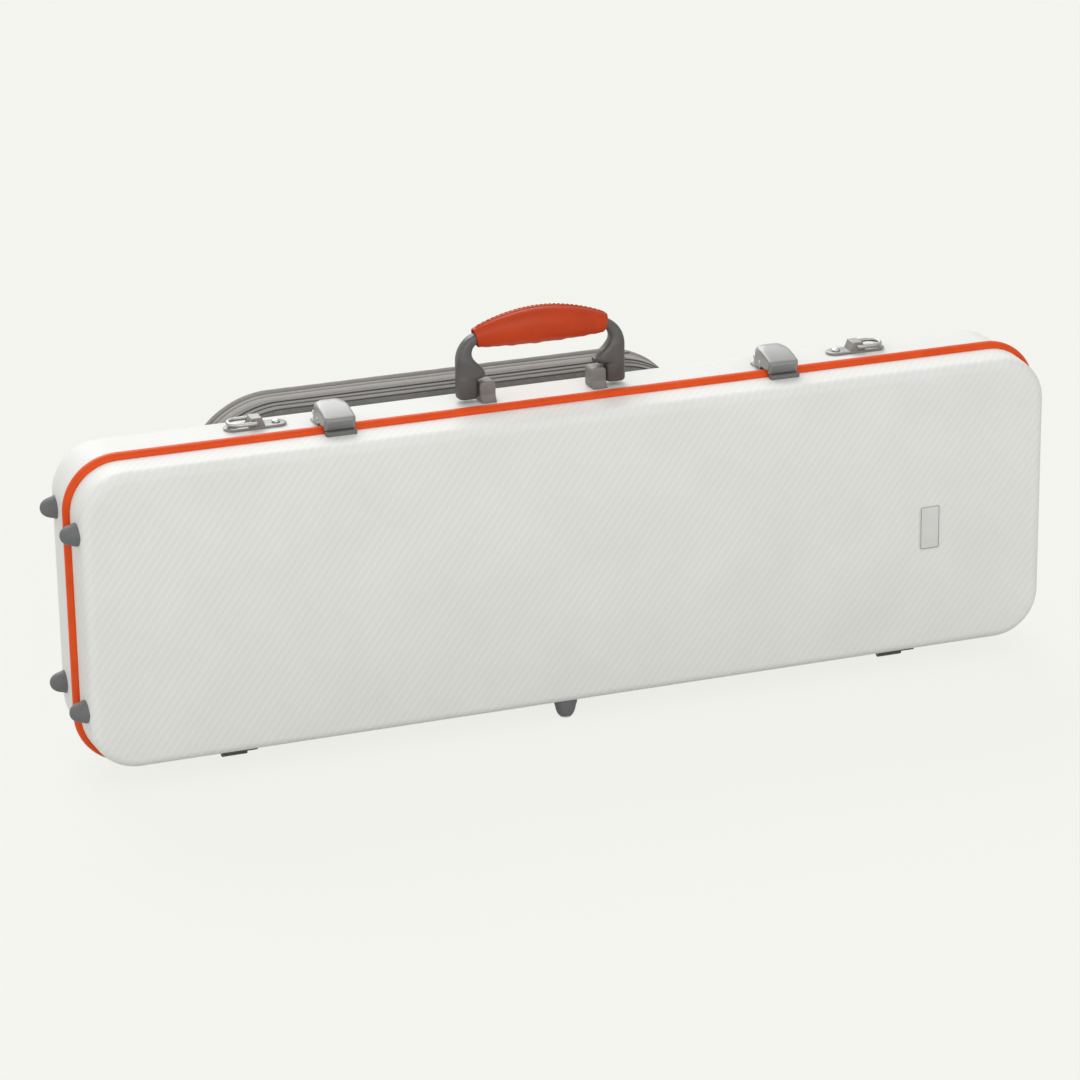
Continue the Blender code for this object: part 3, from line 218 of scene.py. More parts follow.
def turnedPart(profile, base, axis, sides=40):
    # radius and height points turned about an axis through base, closed at both poles
    profile, axis = np.asarray(profile, float), np.asarray(axis, float)
    across = np.array((0.0, 1.0, 0.0)) if abs(axis[1]) < 0.5 else np.array((1.0, 0.0, 0.0))
    t = np.linspace(0.0, 2 * np.pi, sides, endpoint=False)
    ring = np.cos(t)[:, None] * across + np.sin(t)[:, None] * np.cross(axis, across)
    points = np.asarray(base) + profile[:, 1, None, None] * axis + profile[:, 0, None, None] * ring
    return ringPart(points, False)


def tubePart(path, radius, flat, sides=14, closed=True):
    # a round section carried along a path that lies in the plane across flat
    path, flat = np.asarray(path, float), np.asarray(flat, float)
    ahead = np.roll(path, -1, axis=0)
    behind = np.roll(path, 1, axis=0)
    if not closed:
        ahead[-1], behind[0] = path[-1], path[0]
    along = ahead - behind
    along /= np.linalg.norm(along, axis=1, keepdims=True)
    side = np.cross(along, flat)
    side /= np.linalg.norm(side, axis=1, keepdims=True)
    t = np.linspace(0.0, 2 * np.pi, sides, endpoint=False)
    radius = np.broadcast_to(radius, len(path))[:, None, None]
    points = path[:, None] + radius * (np.cos(t)[:, None] * side[:, None] + np.sin(t)[:, None] * flat)
    return gridPart(points, wrapRows=closed, wrapCols=True, capEnds=not closed)


def setInput(tree, socket, value):
    # a number or a colour goes on the socket itself, an output is linked to it
    if isinstance(value, tuple):
        socket.default_value = (*value, 1.0)
    elif isinstance(value, (int, float)):
        socket.default_value = value
    else:
        tree.links.new(value, socket)


def mathNode(tree, operation, *values, clamp=False):
    node = tree.nodes.new("ShaderNodeMath")
    node.operation = operation
    node.use_clamp = clamp
    for socket, value in zip(node.inputs, values):
        setInput(tree, socket, value)
    return node.outputs[0]


def mixColours(tree, factor, first, second):
    node = tree.nodes.new("ShaderNodeMix")
    node.data_type = "RGBA"
    for index, value in ((0, factor), (6, first), (7, second)):
        setInput(tree, node.inputs[index], value)
    return node.outputs[2]


def noiseValue(tree, vector, scale, detail):
    node = tree.nodes.new("ShaderNodeTexNoise")
    for socket, value in (("Vector", vector), ("Scale", scale), ("Detail", detail)):
        setInput(tree, node.inputs[socket], value)
    return node.outputs["Fac"]


def newPattern(name, setting, value, mottleScale, mottleDetail):
    # a node group that makes a height and a slow mottle from a place and one setting
    group = bpy.data.node_groups.new(name, "ShaderNodeTree")
    group.interface.new_socket("Vector", in_out="INPUT", socket_type="NodeSocketVector")
    group.interface.new_socket(setting, in_out="INPUT", socket_type="NodeSocketFloat").default_value = value
    for label in ("Height", "Mottle"):
        group.interface.new_socket(label, in_out="OUTPUT", socket_type="NodeSocketFloat")
    source, sink = group.nodes.new("NodeGroupInput"), group.nodes.new("NodeGroupOutput")
    place, amount = source.outputs[0], source.outputs[1]
    group.links.new(noiseValue(group, place, mottleScale, mottleDetail), sink.inputs["Mottle"])
    return group, place, amount, sink.inputs["Height"]


def splitPlace(group, place):
    split = group.nodes.new("ShaderNodeSeparateXYZ")
    group.links.new(place, split.inputs[0])
    return split.outputs[0], split.outputs[1]


def makeTwillGroup():
    # diagonal ribs that lean 53 degrees, sin(k (0.8 u - 0.6 v)), with a faint cross wave along them
    group, place, pitch, height = newPattern("embossedTwill", "Rib Pitch", 0.0054, 14.0, 4.0)
    u, v = splitPlace(group, place)
    turns = mathNode(group, "DIVIDE", 2 * math.pi, pitch)

    def wave(uShare, operation, vShare, rate):
        parts = (mathNode(group, "MULTIPLY", way, share) for way, share in ((u, uShare), (v, vShare)))
        return mathNode(group, "SINE", mathNode(group, "MULTIPLY", mathNode(group, operation, *parts), rate))

    rib = wave(0.8, "SUBTRACT", 0.6, turns)
    fine = wave(0.6, "ADD", 0.8, mathNode(group, "MULTIPLY", turns, 2.0))
    group.links.new(mathNode(group, "ADD", rib, mathNode(group, "MULTIPLY", fine, 0.05)), height)
    return group


def makeGrainGroup():
    # fine moulded grain: noise, with a broad mottle for handling marks
    group, place, scale, height = newPattern("mouldedGrain", "Scale", 900.0, 60.0, 4.0)
    group.links.new(noiseValue(group, place, scale, 2.0), height)
    return group


def makeHideGroup():
    # leather: cells of a Voronoi pattern with rounded tops, and a slow colour drift
    group, place, scale, height = newPattern("leatherHide", "Scale", 700.0, 45.0, 5.0)
    cells = group.nodes.new("ShaderNodeTexVoronoi")
    group.links.new(place, cells.inputs["Vector"])
    group.links.new(scale, cells.inputs["Scale"])
    group.links.new(mathNode(group, "SQRT", cells.outputs["Distance"]), height)
    return group


def makeWeaveGroup():
    # plain weave on the UV map: the product of two crossed sine threads
    group, place, thread, height = newPattern("plainWeave", "Thread", 0.0008, 160.0, 4.0)
    turns = mathNode(group, "DIVIDE", math.pi, thread)
    warp, weft = (
        mathNode(group, "SINE", mathNode(group, "MULTIPLY", way, turns)) for way in splitPlace(group, place))
    group.links.new(mathNode(group, "MULTIPLY", warp, weft), height)
    return group


patterns = {
    "twill": (makeTwillGroup(), "UV"), "weave": (makeWeaveGroup(), "UV"),
    "grain": (makeGrainGroup(), "Object"), "hide": (makeHideGroup(), "Object"),
}
socketNames = {
    "specular": "Specular IOR Level", "metal": "Metallic", "coat": "Coat Weight",
    "coatRough": "Coat Roughness", "sheen": "Sheen Weight", "sheenRough": "Sheen Roughness",
}
usualLook = {"pattern": "grain", "depth": 0.0001, "mottle": (0.30, 0.70)}


def makeMaterial(name, own):
    # base colour drifting between two tones by the pattern's mottle, relief from its height, and painted
    # shade in the relief's low parts where a groove colour is given
    look = {**usualLook, **own}
    material = bpy.data.materials.new(name)
    material.use_nodes = True
    tree = material.node_tree
    shader = tree.nodes["Principled BSDF"]
    for key, socket in socketNames.items():
        if key in look:
            shader.inputs[socket].default_value = look[key]
    place = tree.nodes.new("ShaderNodeTexCoord")
    effect = tree.nodes.new("ShaderNodeGroup")
    effect.node_tree, coordinate = patterns[look["pattern"]]
    tree.links.new(place.outputs[coordinate], effect.inputs["Vector"])
    effect.inputs[1].default_value = look["scale"]
    drift = tree.nodes.new("ShaderNodeMapRange")
    drift.inputs["From Min"].default_value, drift.inputs["From Max"].default_value = look["mottle"]
    tree.links.new(effect.outputs["Mottle"], drift.inputs["Value"])
    colour = mixColours(tree, drift.outputs["Result"], look["dark"], look["light"])
    # painted shade: the low parts of the relief, the twill's grooves and the weave's gaps, take the darker
    # groove colour
    if "groove" in look:
        low = mathNode(tree, "SUBTRACT", 0.5, mathNode(tree, "MULTIPLY", effect.outputs["Height"], 0.5))
        share = mathNode(tree, "MULTIPLY", low, look["grooveShadeShare"], clamp=True)
        colour = mixColours(tree, share, colour, look["groove"])
    tree.links.new(colour, shader.inputs["Base Color"])
    low, high = look["rough"]
    rough = mathNode(tree, "ADD", mathNode(tree, "MULTIPLY", drift.outputs["Result"], high - low), low)
    tree.links.new(rough, shader.inputs["Roughness"])
    bump = tree.nodes.new("ShaderNodeBump")
    bump.inputs["Strength"].default_value = look["relief"]
    bump.inputs["Distance"].default_value = look["depth"]
    tree.links.new(effect.outputs["Height"], bump.inputs["Height"])
    tree.links.new(bump.outputs["Normal"], shader.inputs["Normal"])
    return material


# a groove colour and its share paint shade into the low parts of a finish's relief
finishes = {
    "whiteShell": dict(
        slot="white_shell", pattern="twill", scale=0.0054, specular=0.18,
        dark=(0.795, 0.800, 0.770), light=(0.835, 0.840, 0.810), rough=(0.44, 0.52),
        groove=(0.66, 0.665, 0.635), grooveShadeShare=0.23, relief=0.35, depth=0.00014),
    "orangeBead": dict(
        slot="orange_trim", scale=700.0, dark=(0.71, 0.069, 0.007), light=(0.77, 0.083, 0.010),
        rough=(0.36, 0.46), relief=0.10, specular=0.16),
    "gripLeather": dict(
        slot="orange_leather", pattern="hide", scale=620.0, dark=(0.45, 0.040, 0.0053),
        light=(0.54, 0.052, 0.0075), rough=(0.34, 0.44), relief=0.30, depth=0.0002, specular=0.22),
    "stitchThread": dict(
        slot="orange_leather", scale=1600.0, dark=(0.36, 0.040, 0.012), light=(0.46, 0.055, 0.016),
        rough=(0.60, 0.75), relief=0.3),
    "handlePlastic": dict(
        slot="grey_plastic", scale=1300.0, dark=(0.050, 0.048, 0.046), light=(0.070, 0.067, 0.064),
        rough=(0.36, 0.46), relief=0.25, specular=0.75),
    "bracketPlastic": dict(
        slot="grey_plastic", scale=1300.0, dark=(0.165, 0.162, 0.156), light=(0.205, 0.200, 0.194),
        rough=(0.42, 0.54), relief=0.30),
    "platePlastic": dict(
        slot="grey_plastic", scale=1300.0, dark=(0.185, 0.183, 0.180), light=(0.225, 0.223, 0.219),
        rough=(0.30, 0.40), relief=0.15, specular=0.7, coat=0.6, coatRough=0.40),
    # painted shade: a darker copy of the latch grey, for the catch's shaded front
    "catchGreyPaintedShade": dict(
        slot="latch_grey", scale=1500.0, dark=(0.100, 0.101, 0.099), light=(0.125, 0.126, 0.124),
        rough=(0.34, 0.44), relief=0.20),
    "latchPlastic": dict(
        slot="latch_grey", scale=1500.0, dark=(0.165, 0.166, 0.164), light=(0.195, 0.196, 0.194),
        rough=(0.30, 0.40), relief=0.20, specular=0.7, coat=0.8, coatRough=0.42),
    "studRubber": dict(
        slot="dark_rubber", scale=1100.0, dark=(0.118, 0.119, 0.126), light=(0.156, 0.158, 0.165),
        rough=(0.55, 0.70), relief=0.25),
    # painted highlight: the pale tip of each foot stands in for the light on its lower end
    "footPad": dict(
        slot="dark_rubber", scale=1300.0, dark=(0.46, 0.46, 0.45), light=(0.54, 0.54, 0.53),
        rough=(0.50, 0.62), relief=0.2),
    # near-black: the hinges' dark plastic, darkened further as painted shade for the shadow under the case
    "hingePlasticAndShade": dict(
        scale=1300.0, dark=(0.046, 0.046, 0.044), light=(0.064, 0.064, 0.061),
        rough=(0.45, 0.58), relief=0.2),
    "pocketCloth": dict(
        slot="pocket_fabric", pattern="weave", scale=0.0010, dark=(0.275, 0.260, 0.245),
        light=(0.335, 0.318, 0.300),
        groove=(0.14, 0.13, 0.12), grooveShadeShare=0.35, rough=(0.72, 0.86), relief=0.5, depth=0.0002,
        sheen=0.25, sheenRough=0.5),
    "pocketPipe": dict(
        slot="pocket_fabric", pattern="weave", scale=0.0008, dark=(0.300, 0.285, 0.270),
        light=(0.360, 0.343, 0.325),
        groove=(0.16, 0.15, 0.14), grooveShadeShare=0.30, rough=(0.66, 0.80), relief=0.4, depth=0.00015),
    "pocketThread": dict(
        slot="pocket_fabric", scale=1600.0, dark=(0.20, 0.19, 0.18), light=(0.27, 0.26, 0.25),
        rough=(0.60, 0.75), relief=0.3),
    "zipTape": dict(
        slot="pocket_fabric", pattern="weave", scale=0.0007, dark=(0.215, 0.206, 0.197),
        light=(0.265, 0.254, 0.243),
        groove=(0.10, 0.096, 0.092), grooveShadeShare=0.35, rough=(0.70, 0.82), relief=0.5, depth=0.00015),
    "zipCoil": dict(
        slot="pocket_fabric", scale=1800.0, dark=(0.030, 0.029, 0.028), light=(0.045, 0.044, 0.043),
        rough=(0.45, 0.58), relief=0.1),
    "bindingTape": dict(
        slot="pocket_fabric", pattern="weave", scale=0.0013, dark=(0.185, 0.180, 0.172),
        light=(0.255, 0.247, 0.236),
        groove=(0.07, 0.068, 0.064), grooveShadeShare=0.55, rough=(0.72, 0.86), relief=0.6, depth=0.0003),
    "plushLining": dict(
        slot="lining_fabric", scale=2400.0, dark=(0.060, 0.061, 0.066), light=(0.085, 0.086, 0.092),
        rough=(0.82, 0.94), relief=0.6, depth=0.0003, sheen=0.6, sheenRough=0.35),
    "strapWebbing": dict(
        slot="lining_fabric", pattern="weave", scale=0.0011, dark=(0.085, 0.085, 0.090),
        light=(0.115, 0.115, 0.120),
        groove=(0.04, 0.04, 0.042), grooveShadeShare=0.4, rough=(0.65, 0.80), relief=0.6, depth=0.00025),
    "pinSteel": dict(
        slot="bright_steel", scale=2200.0, dark=(0.46, 0.46, 0.45), light=(0.55, 0.55, 0.54),
        rough=(0.24, 0.36), relief=0.05, metal=1.0),
    "ringSteel": dict(
        slot="bright_steel", scale=2200.0, dark=(0.36, 0.36, 0.35), light=(0.44, 0.44, 0.43),
        rough=(0.36, 0.48), relief=0.05, metal=1.0),
    "badgePlate": dict(
        slot="pale_plate", scale=1800.0, dark=(0.66, 0.66, 0.64), light=(0.72, 0.72, 0.70),
        rough=(0.34, 0.44), relief=0.12),
}
materials = {name: makeMaterial(name, own) for name, own in finishes.items()}
print("materials ready")


shellSteps = {"arcSteps": 16, "longSteps": 48, "shortSteps": 14}
rimShape = {"lip": 0.25, "soft": 0.00015}  # the rim's chamfer as a share of the wall, and its height


def shellSkin(side, offset, rimY):
    # outer skin moved in by offset: a straight drafted wall, a quarter-round edge and the face,
    # whose crown is c (1 - (x/a)^2) (1 - (z/b)^2); the UV map is the face seen straight on,
    # with the wall folded out flat round it by its run along the profile
    depth, edge, draft, crown = (
        (cs["lidDepth"], cs["lidEdge"], cs["lidDraft"], cs["lidCrown"]) if side < 0
        else (cs["bodyDepth"], cs["bodyEdge"], 0.0, 0.0))
    wallEnd, reach = depth - edge, edge - offset
    wallY = np.linspace(rimY, wallEnd, 5)
    turn = np.linspace(0.0, np.pi / 2, 13)[1:]
    inset = np.concatenate((draft * wallY / wallEnd + offset, draft + offset + reach * (1 - np.cos(turn))))
    y = np.concatenate((wallY, wallEnd + reach * np.sin(turn)))
    run = np.append(np.cumsum(np.hypot(np.diff(inset), np.diff(y))[::-1])[::-1], 0.0)
    faceX, faceZ, faceCorner = (size - draft - edge for size in (cs["halfLength"], middleZ, cs["corner"]))
    skirtFlat = np.stack(roundedRing(faceX + run, faceZ + run, faceCorner + run, **shellSteps), axis=2)
    share = np.linspace(1.0, 0.0, 15)[1:]
    x, z = roundedRing(faceX * share, faceZ * share, np.maximum(faceCorner * share, 1e-5), **shellSteps)
    rise = crown * (1 - (x / faceX) ** 2) * (1 - (z / faceZ) ** 2)
    face = layPoints(x, side * (depth - offset + rise), z + middleZ)
    points = np.concatenate((caseRings(inset, side * y), face))
    return points, np.concatenate((skirtFlat, np.stack((x, z), axis=2)))


def makeShell(node, side, body):
    rimY, wall = cs["beadWidth"] / 2 + cs["gap"], cs["wall"]
    outer, outerFlat = shellSkin(side, 0.0, rimY)
    inner, innerFlat = shellSkin(side, wall, rimY)
    lip = wall * rimShape["lip"]
    rim = caseRings([lip, wall - lip], [side * (rimY - rimShape["soft"])] * 2)
    points = np.concatenate((outer[::-1], rim, inner))
    flat = np.concatenate((outerFlat[::-1], innerFlat[:1], innerFlat[:1], innerFlat))
    addPiece(node, gridPart(points, wrapCols=True, flat=flat), "whiteShell", body, sharp=50)


makeShell("back_shell", 1, "case_body")
makeShell("lid_shell", -1, "lid")

beadShape = {"leg": 0.006, "tongue": 0.005, "thickness": 0.002, "play": 0.0006}


def makeBead():
    # half-ellipse bead between the rims, then a leg into the back shell and a tongue into the lid
    half, inside = cs["beadWidth"] / 2, cs["wall"] + cs["gap"]
    legEnd, tongueEnd = half + beadShape["leg"], half + beadShape["tongue"]
    tongueOut = cs["wall"] + beadShape["play"] + cs["lidDraft"] * tongueEnd / (cs["lidDepth"] - cs["lidEdge"])
    inner = max(tongueOut, inside) + beadShape["thickness"]
    bead = arcPath((0.0, 0.0), 1.0, 180.0, 0.0, 24) * (half, -cs["beadProud"])
    rest = (
        (half, inside * 0.5), (half, inside), (legEnd, inside), (legEnd, inner), (0.0, inner),
        (-tongueEnd, inner), (-tongueEnd, tongueOut), (-half, tongueOut), (-half, inside * 0.5))
    profile = np.concatenate((bead, rest))
    bead = gridPart(caseRings(profile[:, 1], profile[:, 0]), wrapRows=True, wrapCols=True)
    addPiece("seam_trim", bead, "orangeBead", title="seamBead", sharp=50)


makeBead()
print("shells and bead ready")


handleShape = {
    "x": -0.0110, "y": 0.0270, "pinLift": 0.0095, "gripHalf": 0.053, "gripTop": 0.0492, "gripRise": 0.0123,
    "gripBottom": 0.0338, "gripSag": 0.0016, "gripDepth": 0.88, "gripSquare": 0.90, "lean": 0.24,
    "legDeep": 0.0064, "legThin": 0.0014, "legSquare": 0.62, "weltRadius": 0.0009, "weltTurn": 96.0,
    "stitchStep": 0.0036, "stitchLength": 0.0024, "stitchRadius": 0.00042, "stitchTurn": 84.0,
}
bracketShape = {"spread": 0.092, "width": 0.013, "height": 0.0165, "depth": 0.0072, "soft": 0.0016,
                "crown": 0.0034, "foot": 0.0008, "toeInset": 0.0006}
# how each end of the sleeve is rolled in round the core: size of the ring and push along the case
gripRoll = ((0.965, 0.0007), (0.90, 0.0009), (0.84, 0.0004), (0.80, -0.0008), (0.78, -0.0045), (0.0, -0.0046))
# outer and inner edge of a leg in millimetres from the handle's middle and over its pins
legEdges = mm(
    (67.3, -6.5, 55.3, -6.5), (69.2, -5.6, 53.4, -5.6), (69.8, -3.5, 52.9, -3.5), (69.8, 2.0, 52.9, 2.0),
    (69.8, 7.0, 52.9, 7.2), (69.8, 10.0, 52.2, 8.9), (69.8, 12.5, 47.6, 10.0), (69.8, 15.0, 46.4, 12.8),
    (69.8, 19.0, 48.9, 17.8), (69.7, 23.5, 53.6, 22.4), (69.2, 28.0, 56.6, 26.5), (67.4, 33.5, 57.3, 30.6),
    (63.8, 39.0, 55.9, 34.4), (58.5, 43.4, 52.6, 37.2), (51.5, 46.0, 48.0, 38.4), (44.0, 47.0, 43.0, 38.6),
)


def smoothPath(points, steps=6):
    # Catmull-Rom curve through the points
    ends = np.concatenate((points[:1] * 2 - points[1:2], points, points[-1:] * 2 - points[-2:-1]))
    p0, p1, p2, p3 = (p[:, None, :] for p in (ends[:-3], ends[1:-2], ends[2:-1], ends[3:]))
    t = np.linspace(0.0, 1.0, steps, endpoint=False)[None, :, None]
    bend, swing = 2 * p0 - 5 * p1 + 4 * p2 - p3, 3 * p1 - p0 - 3 * p2 + p3
    curve = 0.5 * (2 * p1 + (p2 - p0) * t + bend * t ** 2 + swing * t ** 3)
    return np.concatenate((curve.reshape(-1, points.shape[1]), points[-1:]))


def squareCircle(turn, power):
    # superellipse: |cos t|^power and |sin t|^power with their signs; power 1 is a circle
    c, s = np.cos(turn), np.sin(turn)
    return np.sign(c) * np.abs(c) ** power, np.sign(s) * np.abs(s) ** power


def handlePoint(x, y, z):
    hs = handleShape
    return layPoints(hs["x"] + x, hs["y"] + y, topZ + hs["pinLift"] + z)


def makeHandleLegs():
    # each section spans the outer and the inner edge, a rounded box 13 mm deep that thins to the core
    hs = handleShape
    edges = smoothPath(legEdges)
    share = np.linspace(0.0, 1.0, len(edges))[:, None]
    a, b = squareCircle(np.linspace(0.0, 2 * np.pi, 28, endpoint=False), hs["legSquare"])
    deep = (hs["legDeep"] - hs["legThin"] * ramp(share, 0.62, 0.82)) * np.clip(0.80 + share * 6.0, 0.0, 1.0)
    middle, half = (edges[:, :2] + edges[:, 2:]) / 2, (edges[:, :2] - edges[:, 2:]) / 2
    x = middle[:, :1] + half[:, :1] * a
    z = middle[:, 1:] + half[:, 1:] * a
    parts = [ringPart(handlePoint(side * x, deep * b, z)) for side in (-1, 1)]
    addPiece("handle_arch", parts, "handlePlastic", "handle", "handleLegs", sharp=45)


def gripSection(x, turn):
    # padded section at x: flat and a little wavy below, high and round on top, ends leaning with the legs
    hs = handleShape
    t = x / hs["gripHalf"]
    swell = np.clip(1 - t ** 2, 0.0, None)
    top = hs["gripTop"] + hs["gripRise"] * swell ** 0.95
    creases = 0.00028 * np.sin(x * 330.0) * swell + 0.00018 * np.sin(x * 610.0 + 1.3)
    bottom = hs["gripBottom"] - hs["gripSag"] * swell + creases
    c, s = squareCircle(turn, hs["gripSquare"])
    rise = (top - bottom) / 2 * s
    return x + hs["lean"] * t ** 3 * rise, (top - bottom) / 2 * hs["gripDepth"] * c, (top + bottom) / 2 + rise


def makeGrip():
    # leather sleeve: sections along the arch, each end rolled in round the core to leave a dark gap
    hs = handleShape
    half = hs["gripHalf"]
    turn = np.linspace(0.0, 2 * np.pi, 64, endpoint=False)[None, :]
    x = half * np.sin(np.linspace(-np.pi / 2, np.pi / 2, 61))[:, None]
    body = layPoints(*gripSection(x, turn))
    rolled = []
    for side, end in ((-1, body[0]), (1, body[-1])):
        hub = end.mean(axis=0)
        rings = [hub + (end - hub) * shrink + (side * push, 0.0, 0.0) for shrink, push in gripRoll]
        rolled.append(np.stack(rings))
    points = np.concatenate((rolled[0][::-1], body, rolled[1]))
    points = handlePoint(points[..., 0], points[..., 1], points[..., 2])
    addPiece("handle_grip", ringPart(points, False), "gripLeather", "handle", "gripSleeve", sharp=70)

    # closing seam behind the crown of the sleeve: a raised welt and a row of stitches before it
    x, y, z = gripSection(np.linspace(-half * 0.97, half * 0.97, 70), math.radians(hs["weltTurn"]))
    welt = tubePart(handlePoint(x, y, z - 0.0003), hs["weltRadius"], (0, 1, 0), 10, closed=False)
    addPiece("gripWelt", welt, "gripLeather", "handle")
    parts = []
    bow = mm(-0.4, 0.1, 0.2, 0.1, -0.4)
    for start in np.arange(-half * 0.94, half * 0.94, hs["stitchStep"]):
        x = np.linspace(start, start + hs["stitchLength"], 5)
        x, y, z = gripSection(x, math.radians(hs["stitchTurn"]))
        parts.append(tubePart(handlePoint(x, y, z + bow), hs["stitchRadius"], (0, 1, 0), 6, closed=False))
    addPiece("gripStitches", parts, "stitchThread", "handle")


def makeBracket(end, side):
    # upright block, round at the top, square at the foot, both faces with a soft edge, and a toe in front
    hs, bs = handleShape, bracketShape
    depth, soft = bs["depth"], bs["soft"]
    t = np.linspace(0.0, np.pi / 2, 6)
    inset = soft * (1 - np.concatenate((np.sin(t), np.cos(t))))
    y = hs["y"] + np.concatenate((-depth + soft * (1 - np.cos(t)), depth - soft * (1 - np.sin(t))))
    x = hs["x"] + side * bs["spread"] / 2
    halfX, halfZ = bs["width"] / 2, (topZ + bs["height"] - seatZ) / 2
    steps = {"arcSteps": 8, "longSteps": 6, "shortSteps": 8}
    a, b = roundedRing(halfX - inset, halfZ - inset, bs["crown"] - inset, **steps)
    squareA, squareB = roundedRing(halfX - inset, halfZ - inset * 0.2, bs["foot"] - inset * 0.2, **steps)
    a, b = np.where(b < 0, squareA, a), np.where(b < 0, squareB, b)
    block = ringPart(layPoints(x + a, y[:, None], seatZ + halfZ + b))
    toe = mm((3.0, 6.0), (0.0, 5.6), (-3.0, 1.0), (-3.4, 0.4), (-3.1, 0.0), (3.0, 0.0))
    reach = halfX - bs["toeInset"]
    parts = [block, prism(toe + (hs["y"] - depth, seatZ), 0, x - reach, x + reach)]
    addPiece("handle_bracket_" + end, parts, "bracketPlastic")


makeHandleLegs()
makeGrip()
for bracketEnd, bracketSide in (("left", -1), ("right", 1)):
    makeBracket(bracketEnd, bracketSide)
print("handle ready")


latchShape = {
    "x": (("left", -0.1868), ("right", 0.1802)), "halfWidth": 0.0126, "skin": 0.0020, "fillet": 0.0018,
    "corner": 0.0032, "noseY": -0.0112, "rearY": 0.0288, "crestY": 0.019, "crestLift": 0.0185, "fall": 0.0062,
    "noseRun": 0.030, "rearRun": 0.0098, "droop": 0.0032, "undercut": 0.0022, "heel": 0.0068,
    "beadLift": 0.0050, "baseDrop": 0.0024, "noseDrop": 0.0018,
    # place over the top wall and radius of each pin
    "pins": {"lever": (0.022, 0.009, 0.0016), "link": (0.0105, 0.0075, 0.0014)},
    # half width, start and end of the slot behind the pin
    "slot": (0.0088, 0.0236, 0.040),
    # plate and lip of the catch: front, rear, depth sunk, height, extra half width, dip in the middle
    "catch": ((-0.0129, -0.0059, 0.0, 0.0027, 0.0, 0.0), (-0.0133, -0.0082, 0.0002, 0.0029, 0.0004, 0.0007)),
    "catchHalf": 0.012, "catchCorner": 0.0018, "dipHalf": 0.0076,
}
lt = latchShape


def leverCrown(y):
    # the top falls slowly from over the pin to the nose and quickly behind the pin
    ahead = np.clip((lt["crestY"] - y) / lt["noseRun"], 0.0, None)
    behind = np.clip((y - lt["crestY"]) / lt["rearRun"], 0.0, None)
    return lt["crestLift"] - lt["fall"] * (ahead ** 1.55 + behind ** 2.2)


def leverFoot(y):
    # the lower edge drops in front of the bead, clears it, then follows the heel's circle round the pin
    pinY, pinLift = lt["pins"]["lever"][:2]
    fall = lt["baseDrop"] * ramp(y, 0.0072, 0.0102) + lt["noseDrop"] * ramp(-y, 0.0066, 0.0078)
    heel = pinLift - np.sqrt(np.clip(lt["heel"] ** 2 - (y - pinY) ** 2, 0.0, None)) + cs["gap"]
    return np.where(y > pinY, heel, lt["beadLift"] - fall)


def leverRings(x, inset, share, roof, level=1.0):
    # plan outline of the lever, drawn in by inset and shrunk to a share, at a level from its foot (0) to roof
    # below its crown (1); it is round at the rear by (1 - f^p)^0.5, with p falling from 5 at the foot to 2.4
    # at the crown, which droops to its rear corners by (a / w)^5; the nose is drawn in under the fingertip
    depth = (lt["rearY"] - lt["noseY"]) / 2
    radius = max(lt["corner"] - inset, 0.0006) * share
    a, b = roundedRing((lt["halfWidth"] - inset) * share, (depth - inset) * share, radius,
                       arcSteps=8, longSteps=14, shortSteps=24)
    y = (lt["rearY"] + lt["noseY"]) / 2 + b
    behind = 0.97 * ramp(y, 0.0165, lt["rearY"])
    droop = lt["droop"] * level * np.abs(a / lt["halfWidth"]) ** 5 * ramp(y, 0.005, 0.019) ** 2
    a = a * (np.sqrt(1 - behind ** (5.0 - 2.6 * level)) - 0.03 * ramp(y, lt["noseY"], lt["noseY"] + 0.03))
    tuck = lt["undercut"] * (1 - level) * ramp(-y, 0.0055, 0.0105)
    lift = leverFoot(y) + (leverCrown(y) - roof - leverFoot(y)) * level
    return layPoints(x + a, y + tuck, topZ + lift - droop)


def makeLever(end, x):
    # outer wall, rolled edge and crown, then the hollow inside
    fillet, skin = lt["fillet"], lt["skin"]
    rows = [leverRings(x, 0.0, 1.0, fillet, level) for level in np.linspace(0.0, 1.0, 6)[:-1]]
    for t in np.linspace(0.0, np.pi / 2, 7):
        rows.append(leverRings(x, fillet * (1 - np.cos(t)), 1.0, fillet * (1 - np.sin(t))))
    rows += [leverRings(x, fillet, share, 0.0) for share in np.linspace(1.0, 0.0, 9)[1:]]
    inner = [leverRings(x, skin, 1.0, skin, level) for level in (0.0, 0.5, 1.0)]
    inner += [leverRings(x, skin, share, skin) for share in np.linspace(1.0, 0.0, 6)[1:]]
    points = np.concatenate(rows[::-1] + inner)
    # the roof is open behind the pin, between the cheeks, so that the base's lugs pass as the lever turns
    slotHalf, slotStart, slotEnd = lt["slot"]
    slot = ((x - slotHalf, slotStart, topZ - 0.002), (x + slotHalf, slotEnd, topZ + 0.024))
    node = "latch_lever_" + end
    addPiece(node, ringPart(points, False), "latchPlastic", node, sharp=48, box=slot)


def makeLatchPins(end, x):
    # steel pins with low domed heads on the lever's cheeks
    length = 2 * (lt["halfWidth"] - 0.0003)
    for name, body in (("lever", "case_body"), ("link", "latch_lever_" + end)):
        y, lift, radius = lt["pins"][name]
        head = [(0.0, -0.0006), (radius * 0.6, -0.0005), (radius, -0.0001)]
        profile = head + [(r, length - h) for r, h in head[::-1]]
        pin = turnedPart(profile, (x - length / 2, y, topZ + lift), (1, 0, 0), 20)
        addPiece("latch_" + name + "_pin_" + end, pin, "pinSteel", body, sharp=60)


